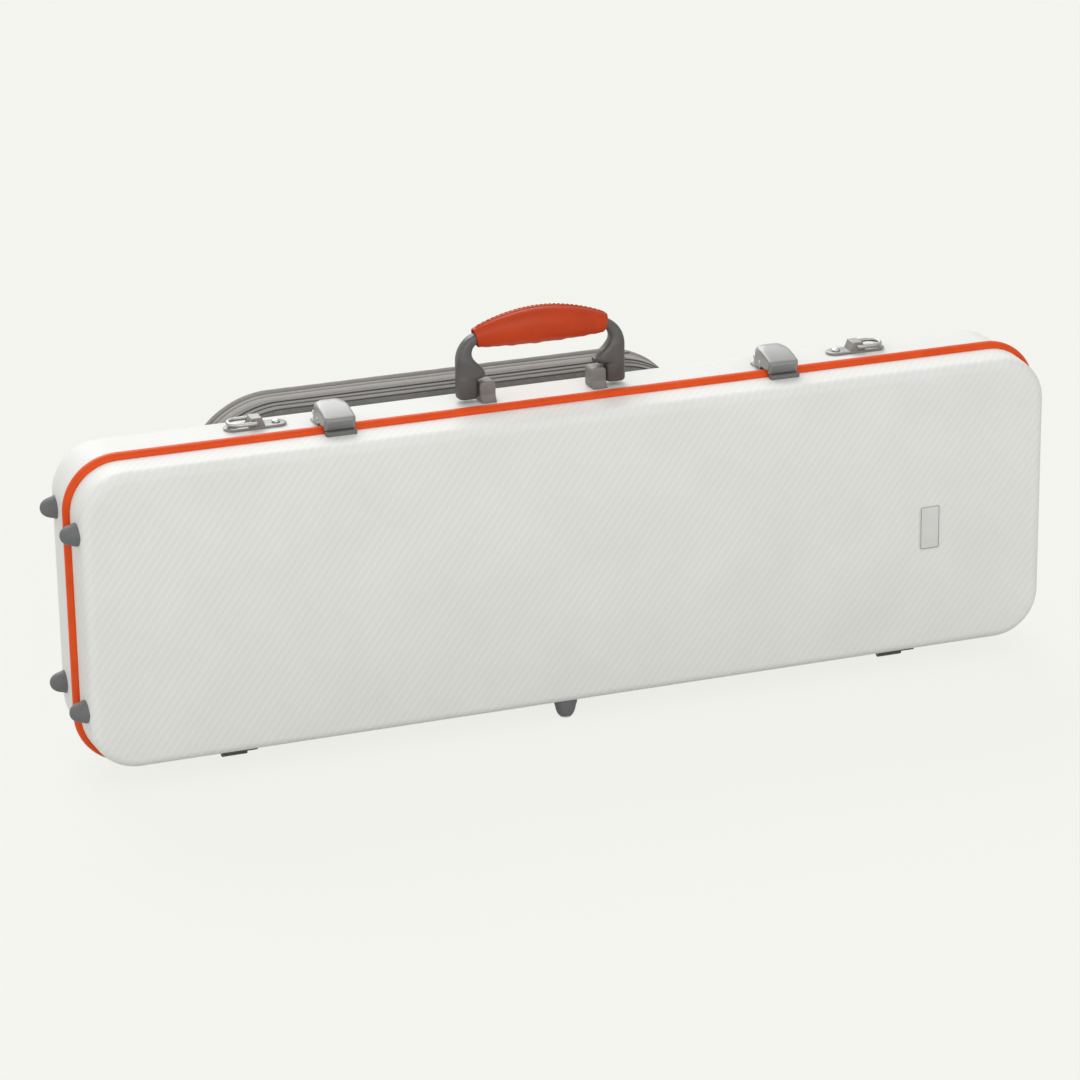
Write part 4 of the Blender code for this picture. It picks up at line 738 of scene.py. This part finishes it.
def makeCatch(end, x):
    # catch on the lid: a plate with round corners and a lip under the lever's nose, cut low in its middle
    inset = mm(0.0, 0.0, 0.2, 0.6, 1.2, 1.8)
    level = np.array((0.0, 1.0, 1.0, 1.0, 1.0, 1.0))[:, None]
    drop = mm(0.0, 0.6, 0.2, 0.0, 0.0, 0.0)[:, None]
    parts = []
    for front, rear, sunk, top, wider, dip in lt["catch"]:
        low = topZ - cs["lidDraft"] * 0.55 - 0.0004 - sunk
        radius = np.maximum(lt["catchCorner"] - inset, 0.0003)
        a, b = roundedRing(lt["catchHalf"] + wider - inset, (rear - front) / 2 - inset, radius,
                           arcSteps=6, longSteps=24, shortSteps=4)
        cut = dip / (1 + np.exp((np.abs(a) - lt["dipHalf"]) / 0.0004))
        lift = low + level * (topZ + top - cut - low) - drop
        parts.append(ringPart(layPoints(x + a, (front + rear) / 2 + b, lift)))
    # the catch's darker grey is painted shade
    addPiece("latch_catch_" + end, parts, "catchGreyPaintedShade", "lid")


for latchEnd, latchX in lt["x"]:
    makeLever(latchEnd, latchX)
    makeLatchPins(latchEnd, latchX)
    makeCatch(latchEnd, latchX)
    dressNode("latch_base_" + latchEnd, "latchPlastic")
    dressNode("latch_link_" + latchEnd, "pinSteel")
print("latches ready")


ringShape = {
    "x": (("left", -1, -0.2429), ("right", 1, 0.2597)), "y": 0.031, "barLift": 0.0053, "wire": 0.0032,
    "width": 0.020, "reach": 0.023, "plateHalf": 0.025, "plateWidth": 0.015, "plate": 0.0018,
    "plateSoft": 0.0007, "blockFoot": 0.014, "blockTop": 0.008, "blockWide": 0.0125, "blockTall": 0.0085,
    "blockSunk": 0.0012, "rivetSpread": 0.0335,
    "rivet": mm((0.0, 0.3), (3.4, 0.3), (3.4, 0.8), (3.1, 1.3), (2.4, 1.8), (1.3, 2.1), (0.0, 2.2)),
}


def makeStrapRing(end, side, x):
    rs = ringShape
    inset = mm(0.0, 0.0, 0.2, 0.7, 4.0, 7.4)
    level = mm(0.0, 1.2, 1.6, 1.8, 1.8, 1.8)
    wide = rs["plateWidth"] / 2 - inset
    a, b = roundedRing(rs["plateHalf"] - inset, wide, wide * 0.98, arcSteps=12, longSteps=16, shortSteps=2)
    plate = ringPart(layPoints(x + a, rs["y"] + b, seatZ + level[:, None]))

    # folded block that the ring's bar turns in
    foot, crest, across = rs["blockFoot"] / 2, rs["blockTop"] / 2, rs["blockWide"] / 2
    low, high = seatZ + rs["blockSunk"], seatZ + rs["blockTall"]
    profile = ((x - foot, low), (x + foot, low), (x + crest, high), (x - crest, high))
    block = prism(profile, 1, rs["y"] - across, rs["y"] + across)
    title = "strapPlate" + end.title()
    seat = addPiece("strap_ring_plate_" + end, [plate, block], "platePlastic", title=title)
    bevelled(seat, rs["plateSoft"])

    # D ring: bar through the block, two short legs and a half round
    half, reach = (rs["width"] - rs["wire"]) / 2, rs["reach"] - rs["wire"] / 2
    corner = half - across - cs["gap"]
    upper = arcPath((corner, half - corner), corner, 180.0, 90.0, 6)
    bow = arcPath((reach - half, 0.0), half, 90.0, -90.0, 32)
    flat = np.concatenate((upper, bow, upper[::-1] * (1, -1), ((0.0, -0.002), (0.0, 0.002))))
    path = layPoints(x + side * flat[:, 0], rs["y"] + flat[:, 1], topZ + rs["barLift"])
    node = "strap_ring_" + end
    addPiece(node, tubePart(path, rs["wire"] / 2, (0, 0, 1), 16), "ringSteel", node, sharp=0)

    for spot, place in ((-side, "inner"), (side, "outer")):
        base = (x + spot * rs["rivetSpread"] / 2, rs["y"], seatZ + rs["plate"])
        addPiece("strap_ring_rivet_" + end + "_" + place, turnedPart(rs["rivet"], base, (0, 0, 1), 28),
                 "pinSteel", title="strapRivet" + end.title() + place.title())


for ringEnd, ringSide, ringX in ringShape["x"]:
    makeStrapRing(ringEnd, ringSide, ringX)
print("strap rings ready")


# radius and height profiles of the rubber studs; the root is sunk into the shell's wall
studShape = {
    "bumper": mm((0.0, -3.0), (8.8, -3.0), (9.1, 0.3), (8.9, 0.9), (8.3, 2.4), (7.8, 4.4), (7.2, 6.4),
                 (6.3, 8.2), (5.1, 9.8), (3.6, 11.0), (1.8, 11.7), (0.0, 11.8)),
    "foot": mm((0.0, -2.0), (9.4, -2.0), (9.4, 2.6), (9.0, 3.4), (8.6, 5.0), (7.6, 9.2), (6.4, 12.2),
               (5.8, 13.0), (5.4, 13.2), (0.0, 13.2)),
    "footTip": mm((0.0, 12.5), (5.0, 12.5), (5.0, 14.0), (4.6, 14.5), (0.0, 14.5)),
    "bumperSpread": 0.0715,
    "bumpers": (("lid", -0.020, 0.0, "lid"), ("body", 0.041, 0.002, "case_body")),
    "feet": (("lid_foot", (-0.011, -0.0196, 0.0), "lid"),
             ("rear_foot_left", (-0.240, 0.050, 0.0), "case_body"),
             ("rear_foot_right", (0.240, 0.050, 0.0), "case_body")),
}


def makeStuds():
    ss = studShape
    for level, way in (("top", 1), ("bottom", -1)):
        for owner, y, lift, body in ss["bumpers"]:
            base = (-cs["halfLength"], y, middleZ + way * ss["bumperSpread"] + lift)
            bumper = turnedPart(ss["bumper"], base, (-1, 0, 0))
            addPiece(owner + "_bumper_" + level, bumper, "studRubber", body, sharp=55)
    for node, place, body in ss["feet"]:
        addPiece(node, turnedPart(ss["foot"], place, (0, 0, -1)), "studRubber", body, sharp=55)
        # the tip's pale colour is a painted highlight
        addPiece(node + "_tip", turnedPart(ss["footTip"], place, (0, 0, -1)), "footPad", body, sharp=55)


makeStuds()
print("bumpers and feet ready")


badgeShape = {
    "x": 0.297, "z": 0.1075, "halfX": 0.00885, "halfZ": 0.0185, "radius": 0.002, "proud": 0.0010,
    "lineInset": 0.0010, "lineRadius": 0.00028,
}


def lidFaceY(x, z):
    # depth of the crowned face, as on the lid shell
    inset = cs["lidDraft"] + cs["lidEdge"]
    rise = (1 - (x / (cs["halfLength"] - inset)) ** 2) * (1 - ((z - middleZ) / (middleZ - inset)) ** 2)
    return -(cs["lidDepth"] + cs["lidCrown"] * rise)


def makeBadge():
    # a bare plate that follows the crowned face, with a soft edge and a thin raised outline
    bs = badgeShape
    steps = {"arcSteps": 8, "longSteps": 10, "shortSteps": 16}
    inset = mm(0.0, 0.0, 0.1, 0.4, 2.0, 5.0, 8.0)
    sunk = mm(1.6, 0.4, 0.1, 0.0, 0.0, 0.0, 0.0)
    radius = np.maximum(bs["radius"] - inset, 0.0002)
    a, b = roundedRing(bs["halfX"] - inset, bs["halfZ"] - inset, radius, **steps)
    x, z = bs["x"] + a, bs["z"] + b
    rows = layPoints(x, lidFaceY(x, z) - (bs["proud"] - sunk)[:, None], z)
    addPiece("badge_plate", ringPart(rows), "badgePlate", "lid")
    line = bs["lineInset"]
    a, b = roundedRing(bs["halfX"] - line, bs["halfZ"] - line, bs["radius"] - line * 0.8, **steps)
    x, z = bs["x"] + a[0], bs["z"] + b[0]
    path = layPoints(x, lidFaceY(x, z) - bs["proud"], z)
    addPiece("badgeOutline", tubePart(path, bs["lineRadius"], (0, 1, 0), 8), "latchPlastic", "lid", sharp=0)


makeBadge()
# the hinge leaves' colour includes painted shade
for hingeEnd in ("left", "right"):
    dressNode("hinge_leaf_body_" + hingeEnd, "hingePlasticAndShade")
    dressNode("hinge_leaf_lid_" + hingeEnd, "hingePlasticAndShade")
    dressNode("hinge_pin_" + hingeEnd, "pinSteel")
    dressNode("handle_pin_" + hingeEnd, "handlePlastic")
print("badge and hinges ready")


pocketShape = {
    "x": -0.0665, "halfWidth": 0.210, "low": 0.018, "high": 0.2375, "corner": 0.070, "edge": 0.007,
    "front": 0.0773, "rear": 0.1193, "pipe": 0.0024, "pipeOffset": 0.00013, "zipY": 0.0905, "sideRun": 0.030,
    "seams": (0.0845, 0.0972, 0.1085, 0.1150), "rolls": (-0.0004, 0.0010, 0.0008), "seamDepth": 0.0009,
    "slackZ": 0.128, "slack": 0.00035,
    # the front cord is painted shadow: a dark piece laid where the zip's gap is shaded
    "cords": (("pocketSeamRear", 0.0005, 0.1085, 0.0007), ("pocketSeamFront", 0.0017, 0.0797, 0.0009)),
    "bindingWide": 0.005, "bindingOver": 0.0005, "bindingUnder": 0.0004, "panelInset": 0.036,
    "stitchInset": 0.0130, "stitchStep": 0.0048, "stitchLength": 0.0033, "stitchRadius": 0.00035,
}
ps = pocketShape
pocketSteps = {"arcSteps": 22, "longSteps": 60, "shortSteps": 20}


def pocketRings(inset, y, share=1.0):
    # rings of the pocket's outline drawn in by inset and shrunk to a share, one row for each
    halfZ, centreZ = (ps["high"] - ps["low"]) / 2, (ps["high"] + ps["low"]) / 2
    inset, y, share = np.broadcast_arrays(*np.atleast_1d(inset, y, share))
    sizes = ((size - inset) * share for size in (ps["halfWidth"], halfZ, ps["corner"]))
    x, z = roundedRing(*sizes, **pocketSteps)
    return layPoints(ps["x"] + x, y[:, None], z + centreZ)


def clothSway(points, amount):
    # slack cloth: a few crossed sine waves of different length push the surface in and out
    x, z = points[..., 0], points[..., 2]
    wave = np.sin(x * 31 + z * 17 + 0.6) + 0.7 * np.sin(x * 53 - z * 41 + 1.9)
    return amount * (wave + 0.5 * np.sin(x * 19 + z * 73 + 4.0)) / 2.2


def pocketGusset():
    # sewn bands: a groove at each seam and a low roll between two of them
    seams = np.array(ps["seams"])
    y = np.linspace(ps["front"] + ps["edge"] + 0.0004, ps["rear"] - 0.0030, 44)
    order = np.clip(np.searchsorted(seams, y) - 1, 0, len(seams) - 2)
    within = np.clip((y - seams[order]) / (seams[order + 1] - seams[order]), 0.0, 1.0)
    roll = np.array(ps["rolls"])[order] * np.sin(np.pi * within) ** 0.6
    roll = np.where(y > seams[-1], 0.0, roll)
    groove = -ps["seamDepth"] * np.exp(-((y[:, None] - seams) / 0.00055) ** 2).sum(axis=1)
    rings = pocketRings(-(roll + groove), y)
    slack = 0.5 + 0.5 * np.sin(rings[..., 0] * 47 + rings[..., 2] * 61)
    way = np.sign(rings[..., 2] - ps["slackZ"])
    rings[..., 2] += ps["slack"] * slack * way * ramp(roll, 0.0, 0.001)[:, None]
    return rings


def makePocket():
    # lofted bag: flat front on its panel, a gusset of sewn bands and a slack, slightly pillowed rear
    edge, front, rear = ps["edge"], ps["front"], ps["rear"]
    t = np.linspace(0.0, np.pi / 2, 7)[1:]
    share = np.linspace(1.0, 0.0, 26)[1:] ** 0.85
    back = pocketRings(0.0050, rear, share)
    back[..., 1] += ramp(1 - share, 0.0, 1 / 3.2)[:, None] * (0.0008 + clothSway(back, 0.0010))
    points = np.concatenate((
        pocketRings(0.0, front, 0.0),
        pocketRings(edge, front, np.linspace(0.02, 1.0, 8)),
        pocketRings(edge * (1 - np.sin(t)), front + edge * (1 - np.cos(t))),
        pocketGusset(),
        pocketRings(mm(0.6, 1.6, 3.0, 5.0), rear - mm(2.0, 1.0, 0.6, 0.4)),
        back))
    bag = addPiece("music_pocket", ringPart(points, False), "pocketCloth", title="pocketBag", sharp=0)

    # piping round the rear edge
    path = pocketRings(ps["pipeOffset"], rear + ps["pipeOffset"])[0]
    t = np.arange(len(path)) * 0.9
    radius = ps["pipe"] * (1 + 0.025 * np.sin(t * 1.7) + 0.02 * np.sin(t * 0.37))
    addPiece("pocket_piping", tubePart(path, radius, (0, 1, 0)), "pocketPipe", sharp=0)

    # dark cord in the gusset's rear seam; along the front edge a near-black cord that is painted shadow,
    # standing in for the zip's shaded gap, with a binding tape below it
    for name, inset, y, radius in ps["cords"]:
        addPiece(name, tubePart(pocketRings(inset, y)[0], radius, (0, 1, 0), 8), "zipCoil", sharp=0)
    over, under, inset = ps["bindingOver"], ps["bindingUnder"], edge + ps["bindingWide"]
    rings = np.concatenate((
        arcPath((edge, front + edge), edge + over, 226.0, 270.0, 7),
        ((inset, front - over), (inset, front + under)),
        arcPath((edge, front + edge), edge - under, 270.0, 226.0, 7)))
    binding = gridPart(pocketRings(rings[:, 0], rings[:, 1]), wrapRows=True, wrapCols=True)
    addPiece("pocketBinding", binding, "bindingTape", sharp=50)
    panel = ringPart(pocketRings(ps["panelInset"] + mm(0.0, 0.0, 0.4, 1.0), mm(74.4, 76.4, 76.9, 77.0)))
    addPiece("pocket_fixing_panel", panel, "plushLining", title="pocketFixing", sharp=0)


def evenPath(path, step):
    # points at an even distance along a polyline, and their distances
    gaps = np.concatenate(([0.0], np.cumsum(np.linalg.norm(np.diff(path, axis=0), axis=1))))
    spots = np.linspace(0.0, gaps[-1], max(int(gaps[-1] / step), 2) + 1)
    return np.stack([np.interp(spots, gaps, path[:, k]) for k in range(3)], axis=1), spots


def zipLine(lift):
    # over the pocket's top: up one side, round both upper corners and down the other
    half, radius, crown = ps["halfWidth"] - ps["corner"], ps["corner"] + lift, ps["high"] - ps["corner"]
    right = np.concatenate((
        ((half + radius, crown - ps["sideRun"]),), arcPath((half, crown), radius, 0.0, 90.0, 39)))
    flat = np.concatenate((right, right[::-1] * (-1, 1)))
    return layPoints(ps["x"] + flat[:, 0], ps["zipY"], flat[:, 1])


def makeZip():
    # a flat tape with a ribbed coil along its middle; the tape's normal points away from the corners' centres
    path = evenPath(zipLine(0.0004), 0.004)[0]
    across = mm(-6.0, -5.8, -3.6, -2.0, 2.0, 3.6, 5.8, 6.0)
    lift = mm(0.1, 0.6, 0.8, 0.6, 0.6, 0.8, 0.6, 0.1)
    across, lift = np.concatenate((across, across[::-1])), np.concatenate((lift, np.zeros(8)))
    away = path - (ps["x"], 0.0, ps["high"] - ps["corner"])
    past = np.clip(np.abs(away[:, 0]) - (ps["halfWidth"] - ps["corner"]), 0.0, None) * np.sign(away[:, 0])
    normal = layPoints(past, 0.0, np.clip(away[:, 2], 0.0, None) + 1e-9)
    normal /= np.linalg.norm(normal, axis=1, keepdims=True)
    points = path[:, None] + normal[:, None] * lift[:, None] + np.array((0.0, 1.0, 0.0)) * across[:, None]
    addPiece("pocket_zip", ringPart(points), "zipTape", title="zipTape", sharp=60)
    path, spots = evenPath(zipLine(0.0009), 0.00045)
    radius = 0.00105 + 0.00022 * np.sin(spots * 2 * np.pi / 0.0018)
    addPiece("zipCoil", tubePart(path, radius, (0, 1, 0), 8, closed=False), "zipCoil", sharp=0)


def makePocketStitches():
    # short thread loops laid end to end round the rear, each bowed a little out of the cloth
    seam = pocketRings(ps["stitchInset"], ps["rear"] + 0.0003)[0]
    spots = evenPath(np.concatenate((seam, seam[:1])), ps["stitchStep"])[0]
    heading = np.diff(spots, axis=0)
    heading /= np.linalg.norm(heading, axis=1, keepdims=True)
    bow = layPoints(0.0, mm(-0.15, 0.12, 0.18, 0.12, -0.15), 0.0)
    along = np.linspace(0.0, ps["stitchLength"], 5)[:, None]
    lines = [start + way * along + bow for start, way in zip(spots[:-1], heading)]
    parts = [tubePart(line, ps["stitchRadius"], (0, 1, 0), 5, closed=False) for line in lines]
    addPiece("pocketStitches", parts, "pocketThread", sharp=0)


makePocket()
makeZip()
makePocketStitches()
for zipPiece in ("zip_slider", "zip_pull"):
    dressNode(zipPiece, "handlePlastic")
print("pocket ready")


trayShape = {
    "front": 0.0113, "floor": 0.0633, "inset": 0.0031, "violinEnd": 0.3832, "neckRoot": 0.0212,
    "scrollEnd": -0.2218, "scrollHalf": 0.042, "scrollLong": 0.075, "waist": 0.068, "neck": 0.030,
    "lowerBout": (0.2782, 0.105, 0.107), "upperBout": (0.1032, 0.082, 0.089),
    "wellEdge": 0.0188, "wellLow": 0.040, "wellEnds": (-0.155, -0.010), "wellCorner": 0.012, "lip": 0.0055,
    "rim": 0.0030, "skirtY": 0.040, "backY": 0.066, "backX": 0.93, "backZ": 0.80,
}
neckShape = {
    "x": -0.0613, "half": 0.017, "play": 0.0006, "backPlay": 0.0004, "saddle": 0.015, "dip": 0.022,
    "soft": 0.0024, "strapHalf": 0.0125, "strapEnd": 0.008, "strapRise": 0.010, "strapThick": 0.0020,
}


def boxGap(x, z, lowX, highX, lowZ, highZ, radius):
    # signed distance to a rounded box, negative inside
    dx = np.abs(x - (lowX + highX) / 2) - (highX - lowX) / 2 + radius
    dz = np.abs(z - (lowZ + highZ) / 2) - (highZ - lowZ) / 2 + radius
    return np.hypot(np.maximum(dx, 0.0), np.maximum(dz, 0.0)) + np.minimum(np.maximum(dx, dz), 0.0) - radius


def ovalGap(x, z, centre, halfX, halfZ):
    # near distance to an oval, negative inside
    return (np.sqrt(((x - centre) / halfX) ** 2 + (z / halfZ) ** 2) - 1.0) * min(halfX, halfZ)


def trayGap(x, z):
    # distance to the nearest recess: the violin's bouts, waist, neck and scroll, then the three wells
    ts = trayShape
    lower, upper, scroll, corner = ts["lowerBout"], ts["upperBout"], ts["scrollEnd"], ts["wellCorner"]
    top, (wellStart, wellEnd) = middleZ - ts["wellEdge"], (ts["neckRoot"] + end for end in ts["wellEnds"])
    return np.minimum.reduce((
        ovalGap(x, z, *lower), ovalGap(x, z, *upper),
        boxGap(x, z, upper[0], lower[0], -ts["waist"], ts["waist"], 0.004),
        boxGap(x, z, scroll + 0.012, ts["neckRoot"] + 0.06, -ts["neck"], ts["neck"], 0.002),
        boxGap(x, z, scroll, scroll + ts["scrollLong"], -ts["scrollHalf"], ts["scrollHalf"], corner),
        boxGap(x, z, -ts["violinEnd"], scroll - 0.014, -top, top, corner),
        boxGap(x, z, wellStart, wellEnd, ts["wellLow"], top, corner),
        boxGap(x, z, wellStart, wellEnd, -top, -ts["wellLow"], corner)))


def makeTray():
    # plush face as a height field: the depth grows by a smooth step of the distance to the nearest recess
    ts = trayShape
    half, tall, corner = (size - ts["inset"] for size in (cs["halfLength"], middleZ, cs["corner"]))
    x = np.linspace(-half, half, 470)[:, None]
    over = np.clip(np.abs(x) - (half - corner), 0.0, corner)
    limit = tall - corner + np.sqrt(np.clip(corner ** 2 - over ** 2, 0.0, None))
    z = np.linspace(-1.0, 1.0, 142)[None, :] * limit
    x = np.broadcast_to(x, z.shape)
    step = np.clip(-trayGap(x, z) / ts["lip"] + 0.12, 0.0, 1.0)
    step = step * step * (3 - 2 * step)
    toEnd, toSide = half - np.abs(x), tall - np.abs(z)
    rim = np.minimum(np.minimum(toEnd, toSide), np.hypot(toEnd, toSide))
    y = ts["front"] + (ts["floor"] - ts["front"]) * step + ts["rim"] * np.exp(-rim / 0.0025)
    y += 0.00015 * (np.sin(x * 410 + z * 130) + np.sin(z * 520 - x * 170))
    face = layPoints(x, y, z + middleZ)
    ring = np.concatenate((face[:, 0], face[-1, 1:], face[-2::-1, -1], face[0, -2:0:-1]))
    skirt = layPoints(ring[:, 0], ts["skirtY"], ring[:, 2])
    back = layPoints(ring[:, 0] * ts["backX"], ts["backY"], (ring[:, 2] - middleZ) * ts["backZ"] + middleZ)
    wall = ringPart(np.stack((ring, skirt, back)))
    wall["caps"] = wall["caps"][1:]
    tray = addPiece("violin_tray", [gridPart(face), wall], "plushLining", sharp=0)


def makeNeckRest():
    # saddle block with a half-round dip, and a webbing strap bowed over it
    ts, ns = trayShape, neckShape
    half, saddle, front = ts["neck"] - ns["play"], ns["saddle"], ts["front"]
    back = ts["floor"] - ns["backPlay"]
    profile = np.concatenate((
        ((back, middleZ - half), (back, middleZ + half), (front, middleZ + half), (front, middleZ + saddle)),
        arcPath((front + ns["dip"] - saddle, middleZ), saddle, 90.0, -90.0, 20),
        ((front, middleZ - saddle), (front, middleZ - half))))
    block = prism(profile, 0, ns["x"] - ns["half"], ns["x"] + ns["half"])
    cradle = bevelled(addPiece("neck_cradle", block, "plushLining"), ns["soft"], 4)
    end, wide, thick = half + ns["strapEnd"], ns["strapHalf"], ns["strapThick"]
    z = np.linspace(-end, end, 70)[:, None]
    lift = ns["strapRise"] * np.cos(np.pi / 2 * np.clip(z / half, -1.0, 1.0)) ** 2
    across = np.array((-wide, 0.0003 - wide, wide - 0.0003, wide, wide - 0.0003, 0.0003 - wide))
    over = np.array((-thick / 2, -thick, -thick, -thick / 2, -0.0001, -0.0001))
    points = layPoints(ns["x"] + across, front - cs["gap"] - lift + over, middleZ + z)
    addPiece("neck_strap", ringPart(points), "strapWebbing", sharp=60)


makeTray()
makeNeckRest()
print("tray ready")


liningShape = {
    "front": -0.0278, "back": -0.0316, "halfX": 0.3742, "halfZ": 0.0948, "corner": 0.0306, "border": 0.014,
}
clipShape = {
    "x": (("left", -0.150), ("right", 0.150)), "seat": -0.0275, "reach": 0.010,
    "barHalf": 0.022, "barWide": 0.006,
    "post": mm((0.0, 0.0), (6.0, 0.0), (6.0, 1.5), (5.0, 3.0), (4.4, 12.0), (0.0, 12.0)),
}
loopShape = {
    "x": 0.300, "half": 0.025, "spread": 0.030, "halfWidth": 0.016, "rise": 0.015, "cloth": 0.0016,
    "tapeHalf": 0.0146,
}


def makeLining():
    # a thin pad with rolled edges and a sewn border just inside them
    ls = liningShape
    steps = {"arcSteps": 14, "longSteps": 50, "shortSteps": 14}
    sizes = (ls["halfX"], ls["halfZ"], ls["corner"])
    inset = mm(0.6, 0.0, 0.4, 1.4, 3.0, 9.0, 10.0, 11.0, 14.0)
    sunk = mm(3.8, 2.6, 1.2, 0.4, 0.0, 0.0, 0.7, 0.0, 0.0)
    x, z = roundedRing(*(size - inset for size in sizes), **steps)
    rows = layPoints(x, (ls["front"] - sunk)[:, None], z + middleZ)
    share = np.linspace(0.95, 0.0, 12)
    x, z = roundedRing(*((size - ls["border"]) * share for size in sizes), **steps)
    inner = layPoints(x, ls["front"], z + middleZ)
    back = np.broadcast_to((0.0, ls["back"] - 0.0001, middleZ), rows[:1].shape)
    points = np.concatenate((back, rows, inner))
    pad = addPiece("lid_lining", ringPart(points, False), "plushLining", "lid", sharp=0)


def makeBowClip(end, x):
    # tapered post with a rounded bar across its end
    ks = clipShape
    post = turnedPart(ks["post"], (x, ks["seat"], middleZ), (0, 1, 0), 28)
    inset = mm(6.0, 1.2, 0.3, 0.0, 0.0, 0.3, 1.2, 6.0) * 0.99
    level = mm(0.0, 0.0, 0.4, 1.2, 2.8, 3.6, 4.0, 4.0)
    wide = ks["barWide"] - inset
    a, b = roundedRing(ks["barHalf"] - inset, wide, wide * 0.98, arcSteps=10, longSteps=10, shortSteps=2)
    bar = ringPart(layPoints(x + a, ks["seat"] + ks["reach"] + level[:, None], middleZ + b))
    node = "bow_clip_" + end
    addPiece(node, [post, bar], "handlePlastic", node)


def makeBowLoops():
    # two arches of cloth joined by a tape along the lining
    ks = loopShape
    seat, cloth, tape = clipShape["seat"], ks["cloth"], ks["tapeHalf"]
    unit = arcPath((0.0, 0.0), 1.0, 90.0, -90.0, 32)
    parts = []
    for side in (-1, 1):
        foot = (seat, middleZ + side * ks["spread"])
        outer = unit * (ks["rise"], ks["halfWidth"]) + foot
        inner = unit * (ks["rise"] - cloth, ks["halfWidth"] - cloth) + foot
        places = np.linspace(ks["x"] - ks["half"], ks["x"] + ks["half"], 9)
        parts.append(prism(np.concatenate((outer, inner[::-1])), 0, *places))
    strip = np.array(((0.0, -tape), (cloth, -tape), (cloth, tape), (0.0, tape))) + (seat, middleZ)
    parts.append(prism(strip, 0, ks["x"] - ks["half"], ks["x"] + ks["half"]))
    addPiece("bow_tip_loops", parts, "strapWebbing", "lid", sharp=50)


makeLining()
for clipEnd, clipX in clipShape["x"]:
    makeBowClip(clipEnd, clipX)
makeBowLoops()
print("lid fittings ready")


viewpoint = {
    "place": (-1.07234756, -2.90126966, 1.25527295), "right": (0.93856425, -0.34482089, -0.01398966),
    "up": (0.13062795, 0.31744931, 0.93923494), "ahead": (0.31942682, 0.88335978, -0.34298982),
    "lens": 139.31,
}


def makeCamera():
    data = bpy.data.cameras.new("photoCamera")
    data.lens = viewpoint["lens"]
    data.sensor_width = 36.0
    data.clip_end = 100.0
    camera = placeObject("photoCamera", data)
    turn = np.eye(4)
    turn[:3, 0], turn[:3, 1], turn[:3, 2] = viewpoint["right"], viewpoint["up"], -np.array(viewpoint["ahead"])
    turn[:3, 3] = np.array(viewpoint["place"]) + caseOrigin
    camera.matrix_world = Matrix(turn.tolist())
    bpy.context.scene.camera = camera


studio = {
    "paper": (0.905, 0.913, 0.863), "ambient": 0.52, "floorLit": 0.10, "floorTone": 0.86, "floorBounce": 0.58,
    "floorReach": 14.0,
    "suns": (("keySun", (-50.0, 0.0, 0.0), 1.74, 45.0), ("fillSun", (80.0, -12.0, 0.0), 1.17, 60.0),
             ("leftSun", (10.0, -78.0, 0.0), 0.62, 60.0)),
    "panel": {"place": (-0.12, -0.55, 0.92), "turn": (38.0, 0.0, 0.0), "size": (1.1, 0.35), "power": 0.85},
}


def seenShare(tree):
    # 1 for rays that show the paper, straight or in a gloss, and 0 for those that only light by it
    path = tree.nodes.new("ShaderNodeLightPath")
    gloss = mathNode(tree, "MAXIMUM", path.outputs["Is Glossy Ray"], path.outputs["Is Transmission Ray"])
    return mathNode(tree, "MAXIMUM", path.outputs["Is Camera Ray"], gloss)


def makeWorld():
    world = bpy.data.worlds.new("studioWorld")
    bpy.context.scene.world = world
    world.use_nodes = True
    tree = world.node_tree
    colour = mixColours(tree, seenShare(tree), (studio["ambient"],) * 3, studio["paper"])
    tree.links.new(colour, tree.nodes["Background"].inputs["Color"])


def makeFloor():
    # paper floor: mostly its own even tone to the eye, with a share of lit surface that keeps the shadow
    material = bpy.data.materials.new("studioPaper")
    material.use_nodes = True
    tree = material.node_tree
    tree.nodes.remove(tree.nodes["Principled BSDF"])
    lit = tree.nodes.new("ShaderNodeBsdfDiffuse")
    glow = tree.nodes.new("ShaderNodeEmission")
    glow.inputs["Color"].default_value = (*studio["paper"], 1.0)
    seen = seenShare(tree)
    share = mathNode(tree, "MULTIPLY", seen, 1.0 - studio["floorLit"])
    tint = np.array(studio["paper"]) / studio["paper"][1]
    bounced, shown = (tuple(tint * studio[tone]) for tone in ("floorBounce", "floorTone"))
    tree.links.new(mixColours(tree, seen, bounced, shown), lit.inputs["Color"])
    mix = tree.nodes.new("ShaderNodeMixShader")
    tree.links.new(share, mix.inputs[0])
    tree.links.new(lit.outputs[0], mix.inputs[1])
    tree.links.new(glow.outputs[0], mix.inputs[2])
    tree.links.new(mix.outputs[0], tree.nodes["Material Output"].inputs["Surface"])
    mesh = bpy.data.meshes.new("studioFloor")
    reach = studio["floorReach"]
    corners = [(-reach, -reach, 0.0), (reach, -reach, 0.0), (reach, reach, 0.0), (-reach, reach, 0.0)]
    mesh.from_pydata(corners, [], [(0, 1, 2, 3)])
    mesh.materials.append(material)
    floor = placeObject("studioFloor", mesh)


def placeLamp(name, data, turn):
    lamp = placeObject(name, data)
    lamp.rotation_euler = [math.radians(angle) for angle in turn]
    return lamp


def makeLamps():
    for name, turn, strength, spread in studio["suns"]:
        data = bpy.data.lights.new(name, "SUN")
        data.energy = strength
        data.angle = math.radians(spread)
        placeLamp(name, data, turn)
    panel = studio["panel"]
    data = bpy.data.lights.new("frontPanel", "AREA")
    data.energy, data.shape = panel["power"], "RECTANGLE"
    data.size, data.size_y = panel["size"]
    placeLamp("frontPanel", data, panel["turn"]).location = panel["place"]


makeCamera()
makeWorld()
makeFloor()
makeLamps()
bpy.context.scene.view_settings.view_transform = "Standard"
print("camera and studio ready")
